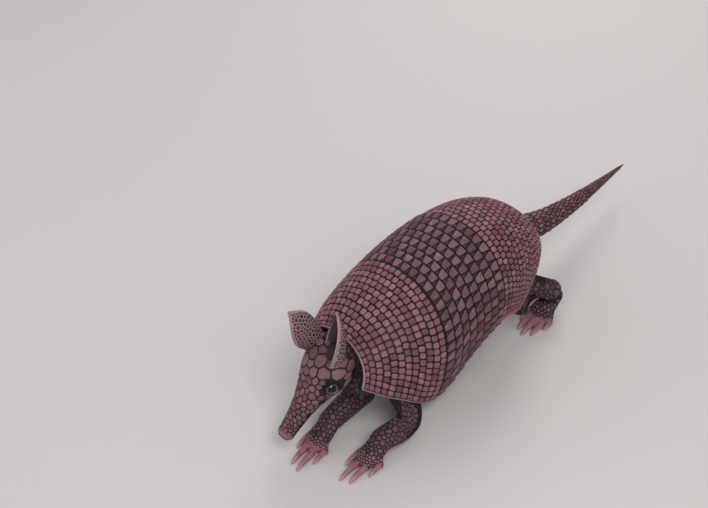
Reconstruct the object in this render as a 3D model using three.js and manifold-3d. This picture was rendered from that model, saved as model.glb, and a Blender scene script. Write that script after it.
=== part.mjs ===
// A nine-banded armadillo (Dasypus novemcinctus) as a life-size still model. It crouches to dig: nose down,
// forefeet reached out in front, hind feet braced behind and the tail trailing.
// Millimetres, +Z up. The animal faces -Y and its left side is +X. The floor is the plane under its feet.
import * as THREE from 'three';
import { mergeVertices } from 'three/addons/utils/BufferGeometryUtils.js';
import Module from 'manifold-3d';

const wasm = await Module();
wasm.setup();

// ---------------------------------------------------------------- driving dimensions

const clearance = 0.4; // between neighbouring pieces

const shell = {
  thickness: 4,
  lap: 1.3, // how far the back edge of a band stands over the next one
  underside: 1.2, // between the shell and the flesh under it
  margin: 1.5, // around the shell where limbs, neck and tail pass it
  bands: 8,
  sweep: 105, // how slowly the sides curve in below the widest level
  across: 16, // facets from rim to rim
};

// The trunk at eight places from the neck to the tail. back and height: the ridge of the shell. lean: degrees
// that the cross-section leans, foot forward. widest, rim and belly: depths under the ridge of the widest
// level, of the shell's edge and of the belly.
const trunkStations = [
  { back: -140, height: 125, lean: 12, halfWidth: 45, widest: 39, rim: 46, belly: 69 },
  { back: -98, height: 141, lean: 10, halfWidth: 64, widest: 62, rim: 90, belly: 102 },
  { back: -50, height: 154, lean: 6, halfWidth: 77, widest: 82, rim: 132, belly: 121 },
  { back: -7, height: 163, lean: 5, halfWidth: 79, widest: 80, rim: 101, belly: 117 },
  { back: 42, height: 168, lean: 7, halfWidth: 77, widest: 78, rim: 92, belly: 114 },
  { back: 88, height: 163, lean: 15, halfWidth: 74, widest: 75, rim: 98, belly: 114 },
  { back: 128, height: 145, lean: 27, halfWidth: 67, widest: 68, rim: 96, belly: 104 },
  { back: 157, height: 112, lean: 38, halfWidth: 48, widest: 46, rim: 70, belly: 82 },
];
const trunkEnd = { share: 0.72, bulge: 5 }; // the flesh rounds off at the neck and under the tail
const lastStation = trunkStations.length - 1;
const shoulderEnd = 2 / lastStation; // the shoulder shield's back edge, as a share of the shell
const hipStart = 4 / lastStation; // the hip shield's front edge

// The head lies in its own frame: forward is -Y before it is pitched down, turned and cocked (degrees).
const head = {
  at: new THREE.Vector3(3.5, -138.5, 113.5),
  pitch: 48,
  yaw: -5,
  roll: -8,
  length: 120,
  sides: 14,
  steps: 8,
};
// The head at places from the nape (0) to the nose (1).
const headStations = [
  { halfWidth: 22, top: 18, bottom: 18 },
  { halfWidth: 28, top: 23, bottom: 22.5 },
  { halfWidth: 29.5, top: 23.5, bottom: 23 },
  { halfWidth: 26, top: 20.5, bottom: 21 },
  { halfWidth: 19.5, top: 16.2, bottom: 16.5 },
  { halfWidth: 14.8, top: 12.8, bottom: 13 },
  { halfWidth: 12, top: 10.4, bottom: 10.6 },
  { halfWidth: 10.3, top: 9.2, bottom: 9 },
  { halfWidth: 9.4, top: 8.6, bottom: 7.2 },
];
const neckRadii = { root: 36, nape: 24 };
const mouth = { level: -3.2, from: 0.5, to: 0.93 }; // the gape, under the head's axis
const headPlate = { from: 0.1, to: 0.72, spread: 64, muzzleSpread: 40, thickness: 1.6, proud: 0.8 };
const eye = { radius: 7.6, along: 0.345, out: 21.2, up: 3.5 };
const nostril = { radius: 2.2, apart: 3.8, up: 0.9, depth: 4 };
const ear = {
  length: 57,
  width: 37,
  thickness: 1.8,
  rootRoll: 130, // degrees from the middle of the cup to its edge
  tipRoll: 48,
  along: 0.12, // where the ear stands on the head
  apart: 19,
  up: 10,
};
// Degrees that each ear leans outwards and backwards from the head, and that its opening is turned outwards.
const earPoses = {
  left: { splay: -10, back: 52, turn: -12 },
  right: { splay: 8, back: 17, turn: 62 },
};

const tail = {
  route: [
    [0, 132, 98],
    [0, 157, 91],
    [-2, 205, 77],
    [-8, 275, 63.5],
    [-17, 345, 52],
    [-28, 420, 40],
  ],
  rootRadius: 19.5,
  tipRadius: 1.6,
  rings: 12,
  ringed: 0.6, // share of the tail that the rings cover
  flare: 0.9,
  sides: 12,
};

// Each limb's joints from the body out, and its radius at the top, above and below the middle joint, and at
// the end. A foot starts at its own point on the floor, and its third number is its turn in degrees.
const foreRadii = [20, 16.5, 16, 12.5];
const hindRadii = [32, 26, 24, 12];
const limbReach = 30; // no limb shows outside the shell above its rim, however thick its upper part
const limbs = {
  forefoot_left: { side: 1, joints: [[38, -102, 80], [77, -101, 23], [67, -145, 18]], foot: [67, -148, 3] },
  forefoot_right: { side: -1, joints: [[-22, -97, 80], [7, -115, 24], [10, -165, 18]], foot: [12, -173, 8] },
  hindfoot_left: { side: 1, joints: [[34, 108, 92], [50, 104, 56], [57, 154, 36]], foot: [57, 161, 4] },
  hindfoot_right: { side: -1, joints: [[-34, 96, 92], [-50, 90, 56], [-57, 140, 34]], foot: [-57, 147, -6] },
};
const forePad = { length: 15, height: 14, backRadius: 12.5, frontRadius: 13, flat: 0.72 };
const hindPad = { length: 27, height: 22, backRadius: 11.5, frontRadius: 14, flat: 0.68 };
// Digits of a foot, from the inner side out: aside and ahead of the foot's own point, the toe's radius, the
// claw's length.
const foreDigits = [
  { aside: -13.6, ahead: 19, radius: 4.2, claw: 19 },
  { aside: -5, ahead: 28, radius: 4.8, claw: 28 },
  { aside: 5.2, ahead: 26, radius: 4.8, claw: 26 },
  { aside: 14.2, ahead: 14, radius: 4.2, claw: 18 },
];
const hindDigits = [
  { aside: -15.5, ahead: 30, radius: 4.2, claw: 14 },
  { aside: -8.8, ahead: 40, radius: 5, claw: 19 },
  { aside: 0, ahead: 43, radius: 5.3, claw: 21 },
  { aside: 8.8, ahead: 39, radius: 5, claw: 18 },
  { aside: 15.2, ahead: 28, radius: 4.1, claw: 12 },
];

// Where a toe leaves its pad: shares of the digit's own place aside, and of the pad's length and height.
const toeRoot = { aside: 0.55, ahead: 0.6, height: 0.8 };
// A claw's radius at its root, as a share of the toe's, and at its tip.
const clawForm = { root: 0.88, tip: 1.6, flat: 0.85 };
const footSink = 0.13; // share of a toe's or pad's radius that its flat sole takes off

const finish = {
  shield: { color: 0x8a6468, roughness: 0.62 },
  band: { color: 0x7b5c62, roughness: 0.62 },
  headPlate: { color: 0x7a565a, roughness: 0.65 },
  skin: { color: 0x4f3d42, roughness: 0.8 },
  ear: { color: 0x6b4d54, roughness: 0.75 },
  claw: { color: 0xa8727a, roughness: 0.45 },
  eye: { color: 0x0b0709, roughness: 0.08 },
  tail: { color: 0x6e4f53, roughness: 0.66 },
};

// ---------------------------------------------------------------- helpers

const radians = THREE.MathUtils.degToRad;
const vector = (place) => new THREE.Vector3(...place);

/** A value that runs smoothly through the stations' values, for t from 0 at the first to 1 at the last. */
function smoothly(stations, name, t) {
  const place = THREE.MathUtils.clamp(t, 0, 1) * (stations.length - 1);
  const first = Math.min(Math.floor(place), stations.length - 2);
  const at = (i) => stations[THREE.MathUtils.clamp(i, 0, stations.length - 1)][name];
  const share = place - first;
  const [a, b, c, d] = [at(first - 1), at(first), at(first + 1), at(first + 2)];
  const start = (c - a) / 2;
  const end = (d - b) / 2;
  return (
    b + share * (start + share * (3 * (c - b) - 2 * start - end + share * (2 * (b - c) + start + end)))
  );
}

/** Point of a rounded square: the angle is 0 at the top, and the power is 2 for an ellipse. */
function rounded(angle, power) {
  const bend = (value) => Math.sign(value) * Math.abs(value) ** (2 / power);
  return { side: bend(Math.sin(angle)), up: bend(Math.cos(angle)) };
}

/** A closed geometry as a solid, turned the right way out. */
function solidOf(geometry) {
  geometry.deleteAttribute('normal');
  geometry.deleteAttribute('uv');
  const merged = mergeVertices(geometry);
  const corners = Uint32Array.from(merged.index.array);
  const build = (triVerts) =>
    new wasm.Manifold(
      new wasm.Mesh({ numProp: 3, vertProperties: merged.getAttribute('position').array, triVerts }),
    );
  const made = build(corners);
  if (made.volume() > 0) return made;
  return build(corners.reverse());
}

/** Moves every vertex of a geometry to the place that the function gives for it, and makes a solid of it. */
function shaped(geometry, place) {
  const positions = geometry.getAttribute('position');
  const from = new THREE.Vector3();
  for (let i = 0; i < positions.count; i++) {
    from.fromBufferAttribute(positions, i);
    const to = place(from);
    positions.setXYZ(i, to.x, to.y, to.z);
  }
  return solidOf(geometry);
}

/** A closed drum bent to shape: place(angle, along, out) has angle 0 at +Y, along 0 to 1, out 0 or 1. */
function drum(sides, steps, place) {
  return shaped(new THREE.CylinderGeometry(1, 1, 1, sides, steps), (v) =>
    place(Math.atan2(v.x, v.z), v.y + 0.5, Math.hypot(v.x, v.z)),
  );
}

/** A sheet bent to shape: place(across, along, face) has across -1 to 1, along 0 to 1, face 0 out or 1 in. */
function sheet(across, along, place) {
  return shaped(new THREE.BoxGeometry(2, 1, 1, across, along, 1), (v) => place(v.x, v.y + 0.5, 0.5 - v.z));
}

/** A round bar along a curve, domed at both ends. radiusAt(share) is its radius, made bigger by grow. */
function bar(curve, radiusAt, { sides = 12, steps = 2, domes = 1, grow = 0, flat = 1 } = {}) {
  const last = steps + 2 * domes;
  return drum(sides, last, (angle, along, out) => {
    const ring = Math.round(along * last) - domes;
    const body = THREE.MathUtils.clamp(ring, 0, steps);
    const lift = ((out === 0 ? along * 2 - 1 : (ring - body) / (domes + 1)) * Math.PI) / 2;
    const radius = radiusAt(body / steps) + grow;
    const reach = radius * Math.cos(lift) * out;
    const tangent = curve.getTangentAt(body / steps);
    const right = new THREE.Vector3(0, 0, 1).cross(tangent).normalize();
    const up = tangent.clone().cross(right);
    return curve
      .getPointAt(body / steps)
      .addScaledVector(tangent, radius * Math.sin(lift))
      .addScaledVector(right, Math.sin(angle) * reach)
      .addScaledVector(up, Math.cos(angle) * reach * flat);
  });
}

const line = (from, to) => new THREE.LineCurve3(vector(from), vector(to));
const taper = (from, to) => (share) => THREE.MathUtils.lerp(from, to, share);
const largest = (solid) => solid.decompose().sort((a, b) => b.volume() - a.volume())[0];
const moved = (solid, matrix) => solid.transform(matrix.toArray());

const floor = solidOf(new THREE.BoxGeometry(1200, 1200, 200).translate(0, 0, -100));

const armadillo = new THREE.Group();

/** Adds a solid to a group as a named mesh. */
function add(name, solid, look, group = armadillo) {
  const { vertProperties, triVerts, numProp } = solid.getMesh();
  const geometry = new THREE.BufferGeometry();
  const positions = new THREE.InterleavedBuffer(vertProperties, numProp);
  geometry.setAttribute('position', new THREE.InterleavedBufferAttribute(positions, 3, 0));
  geometry.setIndex(new THREE.BufferAttribute(triVerts, 1));
  const flat = geometry.toNonIndexed();
  flat.computeVertexNormals();
  const mesh = new THREE.Mesh(flat, new THREE.MeshStandardMaterial({ metalness: 0, ...finish[look] }));
  mesh.name = name;
  group.add(mesh);
}

// ---------------------------------------------------------------- shell and trunk

/** A place on the trunk's cross-section at t, at an angle from the ridge, under the shell's face by inset. */
function trunkPlace(t, angle, inset, lower, power = 2.2, out = 1) {
  const at = (name) => smoothly(trunkStations, name, t);
  const widest = at('widest');
  const { side, up } = rounded(angle, power);
  const rise = up > 0 ? (widest - inset) * up : (lower - inset) * up;
  const depth = widest - rise * out;
  const lean = radians(at('lean'));
  return new THREE.Vector3(
    (at('halfWidth') - inset) * side * out,
    at('back') - depth * Math.sin(lean),
    at('height') - depth * Math.cos(lean),
  );
}

/** The angle from the ridge at which the shell's rim lies. */
function rimAngle(t) {
  const below = smoothly(trunkStations, 'rim', t) - smoothly(trunkStations, 'widest', t);
  return Math.PI - Math.acos((below / shell.sweep) ** 1.1);
}

/** A stretch of shell from t = from to t = to, whose back edge stands out by lap. */
function shellPlate(from, to, steps, lap, grow = 0) {
  return sheet(shell.across, steps, (across, along, face) => {
    const t = THREE.MathUtils.lerp(from, to, along);
    const inset = face === 0 ? -lap * along - grow : shell.thickness + grow;
    return trunkPlace(t, across * rimAngle(t), inset, shell.sweep);
  });
}

/** The flesh of the trunk, which fills the shell and closes under the belly. */
function trunkFlesh(grow) {
  const under = shell.thickness + shell.underside - grow;
  return drum(18, 9, (angle, along, out) => {
    const t = THREE.MathUtils.lerp(0.02, 0.985, along);
    const isEnd = along === 0 || along === 1;
    const lower = smoothly(trunkStations, 'belly', t) - smoothly(trunkStations, 'widest', t) + under + grow;
    const place = trunkPlace(t, angle, under, lower, 2.2, isEnd ? out * trunkEnd.share : out);
    if (isEnd) place.y += (2 * along - 1) * (trunkEnd.bulge * (2 - out) + grow);
    return place;
  });
}

const bandShare = (hipStart - shoulderEnd) / shell.bands;
const ridge = new THREE.CatmullRomCurve3(
  trunkStations.map(({ back, height }) => new THREE.Vector3(0, back, height)),
);
const seam = clearance / ridge.getLength(); // a seam's width as a share of the shell

const trunk = trunkFlesh(0);
const trunkCutter = trunkFlesh(clearance);
/** The room that the shell takes up, with what stands outside it up to reach, for limbs, neck and tail. */
function shellRoom(reach) {
  return sheet(shell.across, 14, (across, along, face) => {
    const inset = face === 0 ? -reach : shell.thickness + shell.underside + shell.margin;
    return trunkPlace(along, across * (rimAngle(along) + shell.margin / shell.sweep), inset, shell.sweep);
  });
}

const shellCutter = shellRoom(shell.lap + shell.margin);
const limbCutter = shellRoom(limbReach);

add('shoulder_shield', shellPlate(0, shoulderEnd - seam, 4, shell.lap), 'shield');
for (let i = 0; i < shell.bands; i++) {
  const from = shoulderEnd + i * bandShare;
  add(`band_${i + 1}`, shellPlate(from, from + bandShare - seam, 1, shell.lap), 'band');
}
add('hip_shield', shellPlate(hipStart, 1, 6, 0), 'shield');

// ---------------------------------------------------------------- head

const headGroup = new THREE.Group();
headGroup.position.copy(head.at);
headGroup.rotation.set(radians(head.pitch), radians(head.roll), radians(head.yaw), 'ZXY');
headGroup.updateMatrixWorld(true);
armadillo.add(headGroup);

/** A place on the head's surface in the head's frame. */
function headPlace(share, angle, grow, out = 1) {
  const at = (name) => smoothly(headStations, name, share);
  const { side, up } = rounded(angle, 2.25);
  return new THREE.Vector3(
    (at('halfWidth') + grow) * side * out,
    -share * head.length,
    ((up > 0 ? at('top') : at('bottom')) + grow) * up * out,
  );
}

const skull = (grow) =>
  drum(head.sides, head.steps, (angle, along, out) => {
    const place = headPlace(along, angle, grow, out);
    if (along === 0) place.y += grow;
    if (along === 1) place.y -= grow;
    return place;
  });

/** The block under the gape, out to the lip, which the lower jaw is cut from. */
function jawBlock(grow) {
  const length = (mouth.to - mouth.from) * head.length;
  return solidOf(
    new THREE.BoxGeometry(60, length + 2 * grow, 30 + grow).translate(
      0,
      -mouth.from * head.length - length / 2,
      mouth.level - 15 + grow / 2,
    ),
  );
}

/** The bony plate over the crown and the bridge of the muzzle. */
function crownPlate(grow) {
  return sheet(8, 4, (across, along, face) => {
    const share = THREE.MathUtils.lerp(headPlate.from, headPlate.to, along);
    const spread = THREE.MathUtils.lerp(headPlate.spread, headPlate.muzzleSpread, along);
    const height = face === 0 ? headPlate.proud + grow : headPlate.proud - headPlate.thickness - grow;
    const place = headPlace(share, across * (radians(spread) + grow / headStations[4].halfWidth), height);
    place.y += grow * (along === 0 ? 1 : along === 1 ? -1 : 0);
    return place;
  });
}

function eyeball(side, grow) {
  const ball = new THREE.SphereGeometry(eye.radius + grow, 8, 6);
  return solidOf(ball.translate(side * eye.out, -eye.along * head.length, eye.up));
}

function nostrilHole(side) {
  const hole = new THREE.ConeGeometry(nostril.radius, nostril.depth * 2, 8);
  return solidOf(hole.translate(side * nostril.apart, -head.length, nostril.up));
}

/** How wide an ear's leaf is, from its root (0) to its tip (1). */
function earWidth(along) {
  return ear.width * (0.58 + 1.75 * along - 2.2 * along ** 2) * Math.sqrt(1.02 - along ** 5);
}

/** A cupped ear, rolled into a funnel at its root, in the head's frame. */
function earShell(side, { splay, back, turn }) {
  const leaf = sheet(6, 5, (across, along, face) => {
    const width = earWidth(along);
    const roll = radians(THREE.MathUtils.lerp(ear.rootRoll, ear.tipRoll, Math.sqrt(along)));
    const cup = width / (2 * Math.sin(Math.min(roll, Math.PI / 2)));
    const radius = cup + (0.5 - face) * ear.thickness;
    return new THREE.Vector3(
      radius * Math.sin(across * roll),
      radius * Math.cos(across * roll) - cup * 0.6,
      along * ear.length,
    );
  });
  const lean = new THREE.Euler(-radians(back), side * radians(splay), side * radians(turn), 'YXZ');
  const stand = new THREE.Matrix4().makeRotationFromEuler(lean);
  stand.setPosition(side * ear.apart, -ear.along * head.length, ear.up);
  return moved(leaf, stand);
}

const skullCutter = skull(clearance);
add('trunk', trunk.subtract(moved(skullCutter, headGroup.matrixWorld)), 'skin');

let skullFlesh = skull(0).subtract(crownPlate(clearance)).subtract(jawBlock(clearance));
let crown = crownPlate(0);
for (const [name, side] of [['left', 1], ['right', -1]]) {
  const socket = eyeball(side, clearance);
  skullFlesh = skullFlesh.subtract(socket).subtract(nostrilHole(side));
  crown = crown.subtract(socket);
  const blade = earShell(side, earPoses[name]).subtract(skullCutter).subtract(crownPlate(clearance));
  add(`ear_${name}`, largest(blade), 'ear', headGroup);
  add(`eye_${name}`, eyeball(side, 0), 'eye', headGroup);
}
add('head', largest(skullFlesh), 'skin', headGroup);
add('jaw', largest(skull(-0.3).intersect(jawBlock(0))), 'skin', headGroup);
add('head_shield', largest(crown), 'headPlate', headGroup);

const neckCurve = new THREE.CatmullRomCurve3([
  new THREE.Vector3(0, -108, 92),
  new THREE.Vector3(0, -128, 96),
  head.at.clone().add(new THREE.Vector3(0, 4, -6)),
]);
const neck = bar(neckCurve, taper(neckRadii.root, neckRadii.nape), { sides: 12, steps: 2 })
  .subtract(trunkCutter)
  .subtract(limbCutter)
  .subtract(moved(skull(clearance + headPlate.proud), headGroup.matrixWorld));
add('neck', largest(neck), 'skin');

// ---------------------------------------------------------------- limbs

/** A toe's round bar from the foot's middle out to where its claw starts. */
function toeBar({ root, tip, radius }, grow) {
  return bar(new THREE.LineCurve3(root, tip), taper(radius * 1.1, radius), { sides: 5, steps: 1, grow });
}

/** A claw that leaves the toe's end and bends down to the floor. */
function clawBar({ tip, ahead, radius, claw }) {
  const curve = new THREE.QuadraticBezierCurve3(
    tip.clone().addScaledVector(ahead, radius * 0.2),
    tip.clone().addScaledVector(ahead, claw * 0.62).setZ(tip.z + radius * 0.35),
    tip.clone().addScaledVector(ahead, claw).setZ(0.6),
  );
  const radiusAt = taper(radius * clawForm.root, clawForm.tip);
  return bar(curve, radiusAt, { sides: 5, steps: 2, domes: 0, flat: clawForm.flat });
}

/** A foot: a pad from the wrist or heel, its toes, and their claws as separate pieces. */
function foot(name, { side, foot: [x, y, turn] }, digits, pad) {
  const upright = new THREE.Vector3(0, 0, 1);
  const ahead = new THREE.Vector3(0, -1, 0).applyAxisAngle(upright, radians(turn));
  const aside = new THREE.Vector3(side, 0, 0).applyAxisAngle(upright, radians(turn));
  const place = (out, forward, height) =>
    new THREE.Vector3(x, y, height).addScaledVector(aside, out).addScaledVector(ahead, forward);
  const ball = place(0, pad.length, pad.frontRadius * pad.flat * (1 - footSink));
  const sole = new THREE.LineCurve3(place(0, 0, pad.height), ball);
  const padBar = (grow) =>
    bar(sole, taper(pad.backRadius, pad.frontRadius), { sides: 8, steps: 1, grow, flat: pad.flat });
  let flesh = padBar(0);
  digits.forEach((digit, i) => {
    const toe = {
      ...digit,
      ahead,
      root: place(digit.aside * toeRoot.aside, pad.length * toeRoot.ahead, pad.height * toeRoot.height),
      tip: place(digit.aside, digit.ahead, digit.radius * (1 - footSink)),
    };
    flesh = flesh.add(toeBar(toe, 0));
    const claw = clawBar(toe).subtract(toeBar(toe, clearance)).subtract(padBar(clearance)).subtract(floor);
    add(`claw_${name}_${i + 1}`, largest(claw), 'claw');
  });
  return flesh.subtract(floor);
}

/** A leg of two bars with round ends, joined. */
function leg([top, middle, end], radii, grow) {
  const upper = bar(line(top, middle), taper(radii[0], radii[1]), { sides: 10, steps: 1, grow });
  const lower = bar(line(middle, end), taper(radii[2], radii[3]), { sides: 10, steps: 1, grow });
  return upper.add(lower);
}

for (const [name, limb] of Object.entries(limbs)) {
  const isFore = name.startsWith('fore');
  const radii = isFore ? foreRadii : hindRadii;
  const digits = isFore ? foreDigits : hindDigits;
  const pad = isFore ? forePad : hindPad;
  const flesh = leg(limb.joints, radii, 0).subtract(trunkCutter).subtract(limbCutter).subtract(floor);
  const sole = foot(name, limb, digits, pad).subtract(leg(limb.joints, radii, clearance));
  add(name.replace('foot', 'leg'), largest(flesh), 'skin');
  add(name, largest(sole), 'skin');
}

// ---------------------------------------------------------------- tail

const tailCurve = new THREE.CatmullRomCurve3(tail.route.map(vector));
const tailRadius = (share) => THREE.MathUtils.lerp(tail.rootRadius, tail.tipRadius, share ** 0.95);

/** A length of tail, whose back edge stands out by flare. */
function tailPiece(from, to, steps, flare) {
  return drum(tail.sides, steps, (angle, along, out) => {
    const share = THREE.MathUtils.lerp(from, to, along);
    const tangent = tailCurve.getTangentAt(share);
    const right = new THREE.Vector3(0, 0, 1).cross(tangent).normalize();
    const up = tangent.clone().cross(right);
    const radius = (tailRadius(share) + flare * along) * out;
    return tailCurve
      .getPointAt(share)
      .addScaledVector(right, Math.sin(angle) * radius)
      .addScaledVector(up, Math.cos(angle) * radius);
  });
}

const ringEnd = (i) => tail.ringed * (i / tail.rings) ** 0.88;
const tailSeam = clearance / tailCurve.getLength();
for (let i = 0; i < tail.rings; i++) {
  const ring = tailPiece(ringEnd(i), ringEnd(i + 1) - tailSeam, 1, tail.flare);
  add(`tail_ring_${i + 1}`, largest(ring.subtract(trunkCutter).subtract(shellCutter)), 'tail');
}
add('tail_tip', tailPiece(tail.ringed, 1, 5, 0), 'tail');

// ---------------------------------------------------------------- the model's own frame

// The origin is under the middle of the model, on the floor.
const bounds = new THREE.Box3().setFromObject(armadillo, true);
const middle = bounds.getCenter(new THREE.Vector3());
armadillo.position.set(-middle.x, -middle.y, -bounds.min.z);

export default armadillo;
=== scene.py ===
import bisect
import math
import random

import bmesh
import bpy
from mathutils import Matrix, Vector, noise
from mathutils.bvhtree import BVHTree
from mathutils.kdtree import KDTree


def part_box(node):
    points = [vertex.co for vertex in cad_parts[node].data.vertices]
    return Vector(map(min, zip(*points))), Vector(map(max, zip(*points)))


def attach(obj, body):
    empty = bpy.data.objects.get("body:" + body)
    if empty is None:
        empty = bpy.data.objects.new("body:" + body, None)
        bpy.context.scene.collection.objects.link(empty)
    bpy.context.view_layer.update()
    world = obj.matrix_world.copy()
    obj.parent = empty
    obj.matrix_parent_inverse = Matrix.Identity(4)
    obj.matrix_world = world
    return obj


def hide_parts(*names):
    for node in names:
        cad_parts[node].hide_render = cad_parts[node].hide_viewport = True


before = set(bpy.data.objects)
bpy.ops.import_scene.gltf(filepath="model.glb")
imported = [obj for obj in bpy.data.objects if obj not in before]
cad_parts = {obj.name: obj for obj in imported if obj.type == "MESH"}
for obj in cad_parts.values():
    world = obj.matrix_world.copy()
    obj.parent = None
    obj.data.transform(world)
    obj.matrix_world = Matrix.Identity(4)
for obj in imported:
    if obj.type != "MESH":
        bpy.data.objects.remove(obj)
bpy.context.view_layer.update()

# the forms below are in millimetres from a point under the back, as the animal was measured
millimetre = 0.001
hipLow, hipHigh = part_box("hip_shield")
backEnd = 157
origin = Vector(((hipLow.x + hipHigh.x) / 2, hipHigh.y - backEnd * millimetre, 0))
print("frame loaded, origin at", tuple(round(v, 4) for v in origin))


def place(x, y, z):
    return Vector((x, y, z)) * millimetre + origin


def measured(point):
    # a place in the scene as the forms' own millimetres
    return (point - origin) / millimetre


def lerp(a, b, share):
    return a + (b - a) * share


def clamp(value, low=0.0, high=1.0):
    return min(max(value, low), high)


def ease(share):
    share = clamp(share)
    return share * share * (3 - 2 * share)


def paint(red, green, blue):
    # a colour as a paint chart gives it, 0 to 255, made linear
    def linear(level):
        level /= 255
        return level / 12.92 if level <= 0.04045 else ((level + 0.055) / 1.055) ** 2.4
    return (linear(red), linear(green), linear(blue), 1)


def addNode(tree, kind, inputs=None, **settings):
    node = tree.nodes.new("ShaderNode" + kind)
    for name, value in settings.items():
        setattr(node, name, value)
    for name, value in (inputs or {}).items():
        if isinstance(value, bpy.types.NodeSocket):
            tree.links.new(value, node.inputs[name])
        else:
            node.inputs[name].default_value = value
    return node


def mixColour(tree, factor, first, second):
    node = addNode(tree, "Mix", data_type="RGBA")
    for index, value in ((0, factor), (6, first), (7, second)):
        if isinstance(value, bpy.types.NodeSocket):
            tree.links.new(value, node.inputs[index])
        else:
            node.inputs[index].default_value = value
    return node.outputs[2]


def remap(tree, value, low, high, toLow=0.0, toHigh=1.0):
    node = addNode(tree, "MapRange", {"Value": value, "From Min": low, "From Max": high,
                                      "To Min": toLow, "To Max": toHigh})
    return node.outputs["Result"]


hornGrain = dict(patch=0.045, mottle=0.006, gloss=0.003, grain=0.0011, depth=0.0005)  # sizes in metres


def hornyFinish(name, look):
    # scutes, scales and skin: each scale has its own tint, the grooves are dark and the rims light
    look = {part: paint(*value) if isinstance(value, tuple) else value for part, value in look.items()}
    material = bpy.data.materials.new(name)
    material.use_nodes = True
    tree = material.node_tree
    shader = tree.nodes["Principled BSDF"]
    spot = addNode(tree, "TexCoord").outputs["Object"]

    def spots(size, detail=2.0, rough=0.5):
        return addNode(tree, "TexNoise", {"Vector": spot, "Scale": 1 / size, "Detail": detail,
                                          "Roughness": rough}).outputs["Fac"]

    def attribute(label):
        return addNode(tree, "Attribute", attribute_name=label).outputs["Fac"]

    patches = remap(tree, spots(hornGrain["patch"]), 0.42, 0.62)
    mottle = remap(tree, spots(hornGrain["mottle"], 3), 0.35, 0.68)
    grain = spots(hornGrain["grain"], 4, 0.7)
    body = mixColour(tree, patches, look["mid"], look["warm"])
    body = mixColour(tree, remap(tree, attribute("tint"), 0, 1, 0, look.get("spread", 0.75)),
                     body, look["light"])
    body = mixColour(tree, remap(tree, mottle, 0, 1, 0, look.get("mottle", 0.4)), body, look["dark"])
    speckle = remap(tree, grain, 0.56, 0.7, 0, look.get("dust", 0.5))
    body = mixColour(tree, speckle, body, look["light"])
    pores = remap(tree, grain, 0.46, 0.32, 0, 0.55)
    body = mixColour(tree, pores, body, look["dark"])
    if "flush" in look:
        body = mixColour(tree, attribute("flush"), body, look["flush"])
    body = mixColour(tree, remap(tree, attribute("groove"), 0.15, 0.85), body, look["groove"])
    body = mixColour(tree, attribute("rim"), body, look["rim"])
    tree.links.new(body, shader.inputs["Base Color"])
    rough = remap(tree, spots(hornGrain["gloss"], 3), 0.3, 0.7, look["rough"] - 0.09, look["rough"] + 0.1)
    tree.links.new(rough, shader.inputs["Roughness"])
    shader.inputs["Specular IOR Level"].default_value = look.get("shine", 0.22)
    fine = addNode(tree, "Bump", {"Height": grain, "Strength": look.get("bump", 0.35),
                                  "Distance": hornGrain["depth"]})
    coarse = addNode(tree, "Bump", {"Height": mottle, "Strength": 0.3, "Distance": 0.0006,
                                    "Normal": fine.outputs["Normal"]})
    tree.links.new(coarse.outputs["Normal"], shader.inputs["Normal"])
    return material


def plainFinish(name, colour, rough):
    material = bpy.data.materials.new(name)
    material.use_nodes = True
    shader = material.node_tree.nodes["Principled BSDF"]
    shader.inputs["Base Color"].default_value = colour
    shader.inputs["Roughness"].default_value = rough
    return material


finishes = {  # colours as a paint chart gives them, and how rough, dusty and glossy each horn is
    # the shields' and bands' rim colours are a painted edge highlight along the shell's bead
    "shield": dict(mid=(116, 80, 86), warm=(138, 80, 85), light=(178, 134, 141),
                   dark=(68, 40, 45), groove=(32, 10, 16), rim=(194, 152, 158),
                   rough=0.56),
    "band": dict(mid=(96, 68, 76), warm=(110, 72, 79), light=(160, 124, 133),
                 dark=(52, 32, 39), groove=(24, 8, 13), rim=(120, 90, 98),
                 rough=0.56),
    "tail": dict(mid=(100, 66, 70), warm=(112, 68, 71), light=(172, 130, 136),
                 dark=(52, 28, 33), groove=(22, 6, 11), rim=(130, 96, 100),
                 rough=0.6),
    "skin": dict(mid=(34, 23, 27), warm=(40, 25, 29), light=(118, 92, 97),
                 dark=(20, 12, 15), groove=(12, 6, 8), rim=(150, 124, 130),
                 flush=(154, 108, 116), rough=0.66, spread=0.8, dust=0.12),
    "crown": dict(mid=(106, 75, 80), warm=(118, 78, 83), light=(158, 124, 130),
                  dark=(58, 36, 41), groove=(24, 9, 13), rim=(150, 112, 120),
                  rough=0.58),
    "scale": dict(mid=(60, 45, 50), warm=(68, 47, 53), light=(146, 113, 124),
                  dark=(34, 24, 27), groove=(12, 5, 8), rim=(120, 92, 100),
                  flush=(162, 112, 122), rough=0.6, dust=0.45),
    "ear": dict(mid=(78, 57, 65), warm=(84, 58, 66), light=(102, 80, 88),
                dark=(56, 36, 44), groove=(40, 24, 30), rim=(186, 154, 160),
                flush=(168, 136, 142), rough=0.66),
    "pebble": dict(mid=(66, 42, 48), warm=(74, 44, 50), light=(96, 70, 76),
                   dark=(46, 26, 32), groove=(140, 108, 115), rim=(150, 116, 124),
                   rough=0.66),
    "hair": dict(mid=(158, 138, 126), warm=(166, 140, 124), light=(206, 190, 174),
                 dark=(112, 94, 84), groove=(70, 54, 48), rim=(196, 180, 166),
                 rough=0.5, bump=0.0, mottle=0.1, dust=0.1),
    "claw": dict(mid=(158, 102, 113), warm=(164, 98, 109), light=(202, 156, 165),
                 dark=(112, 64, 75), groove=(66, 32, 40), rim=(212, 174, 179),
                 rough=0.4, dust=0.25, bump=0.15, shine=0.4),
}
materials = {name: hornyFinish(name + "Horn", look) for name, look in finishes.items()}


def meshOf(bm, name):
    mesh = bpy.data.meshes.new(name)
    bm.to_mesh(mesh)
    bm.free()
    return mesh


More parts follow.
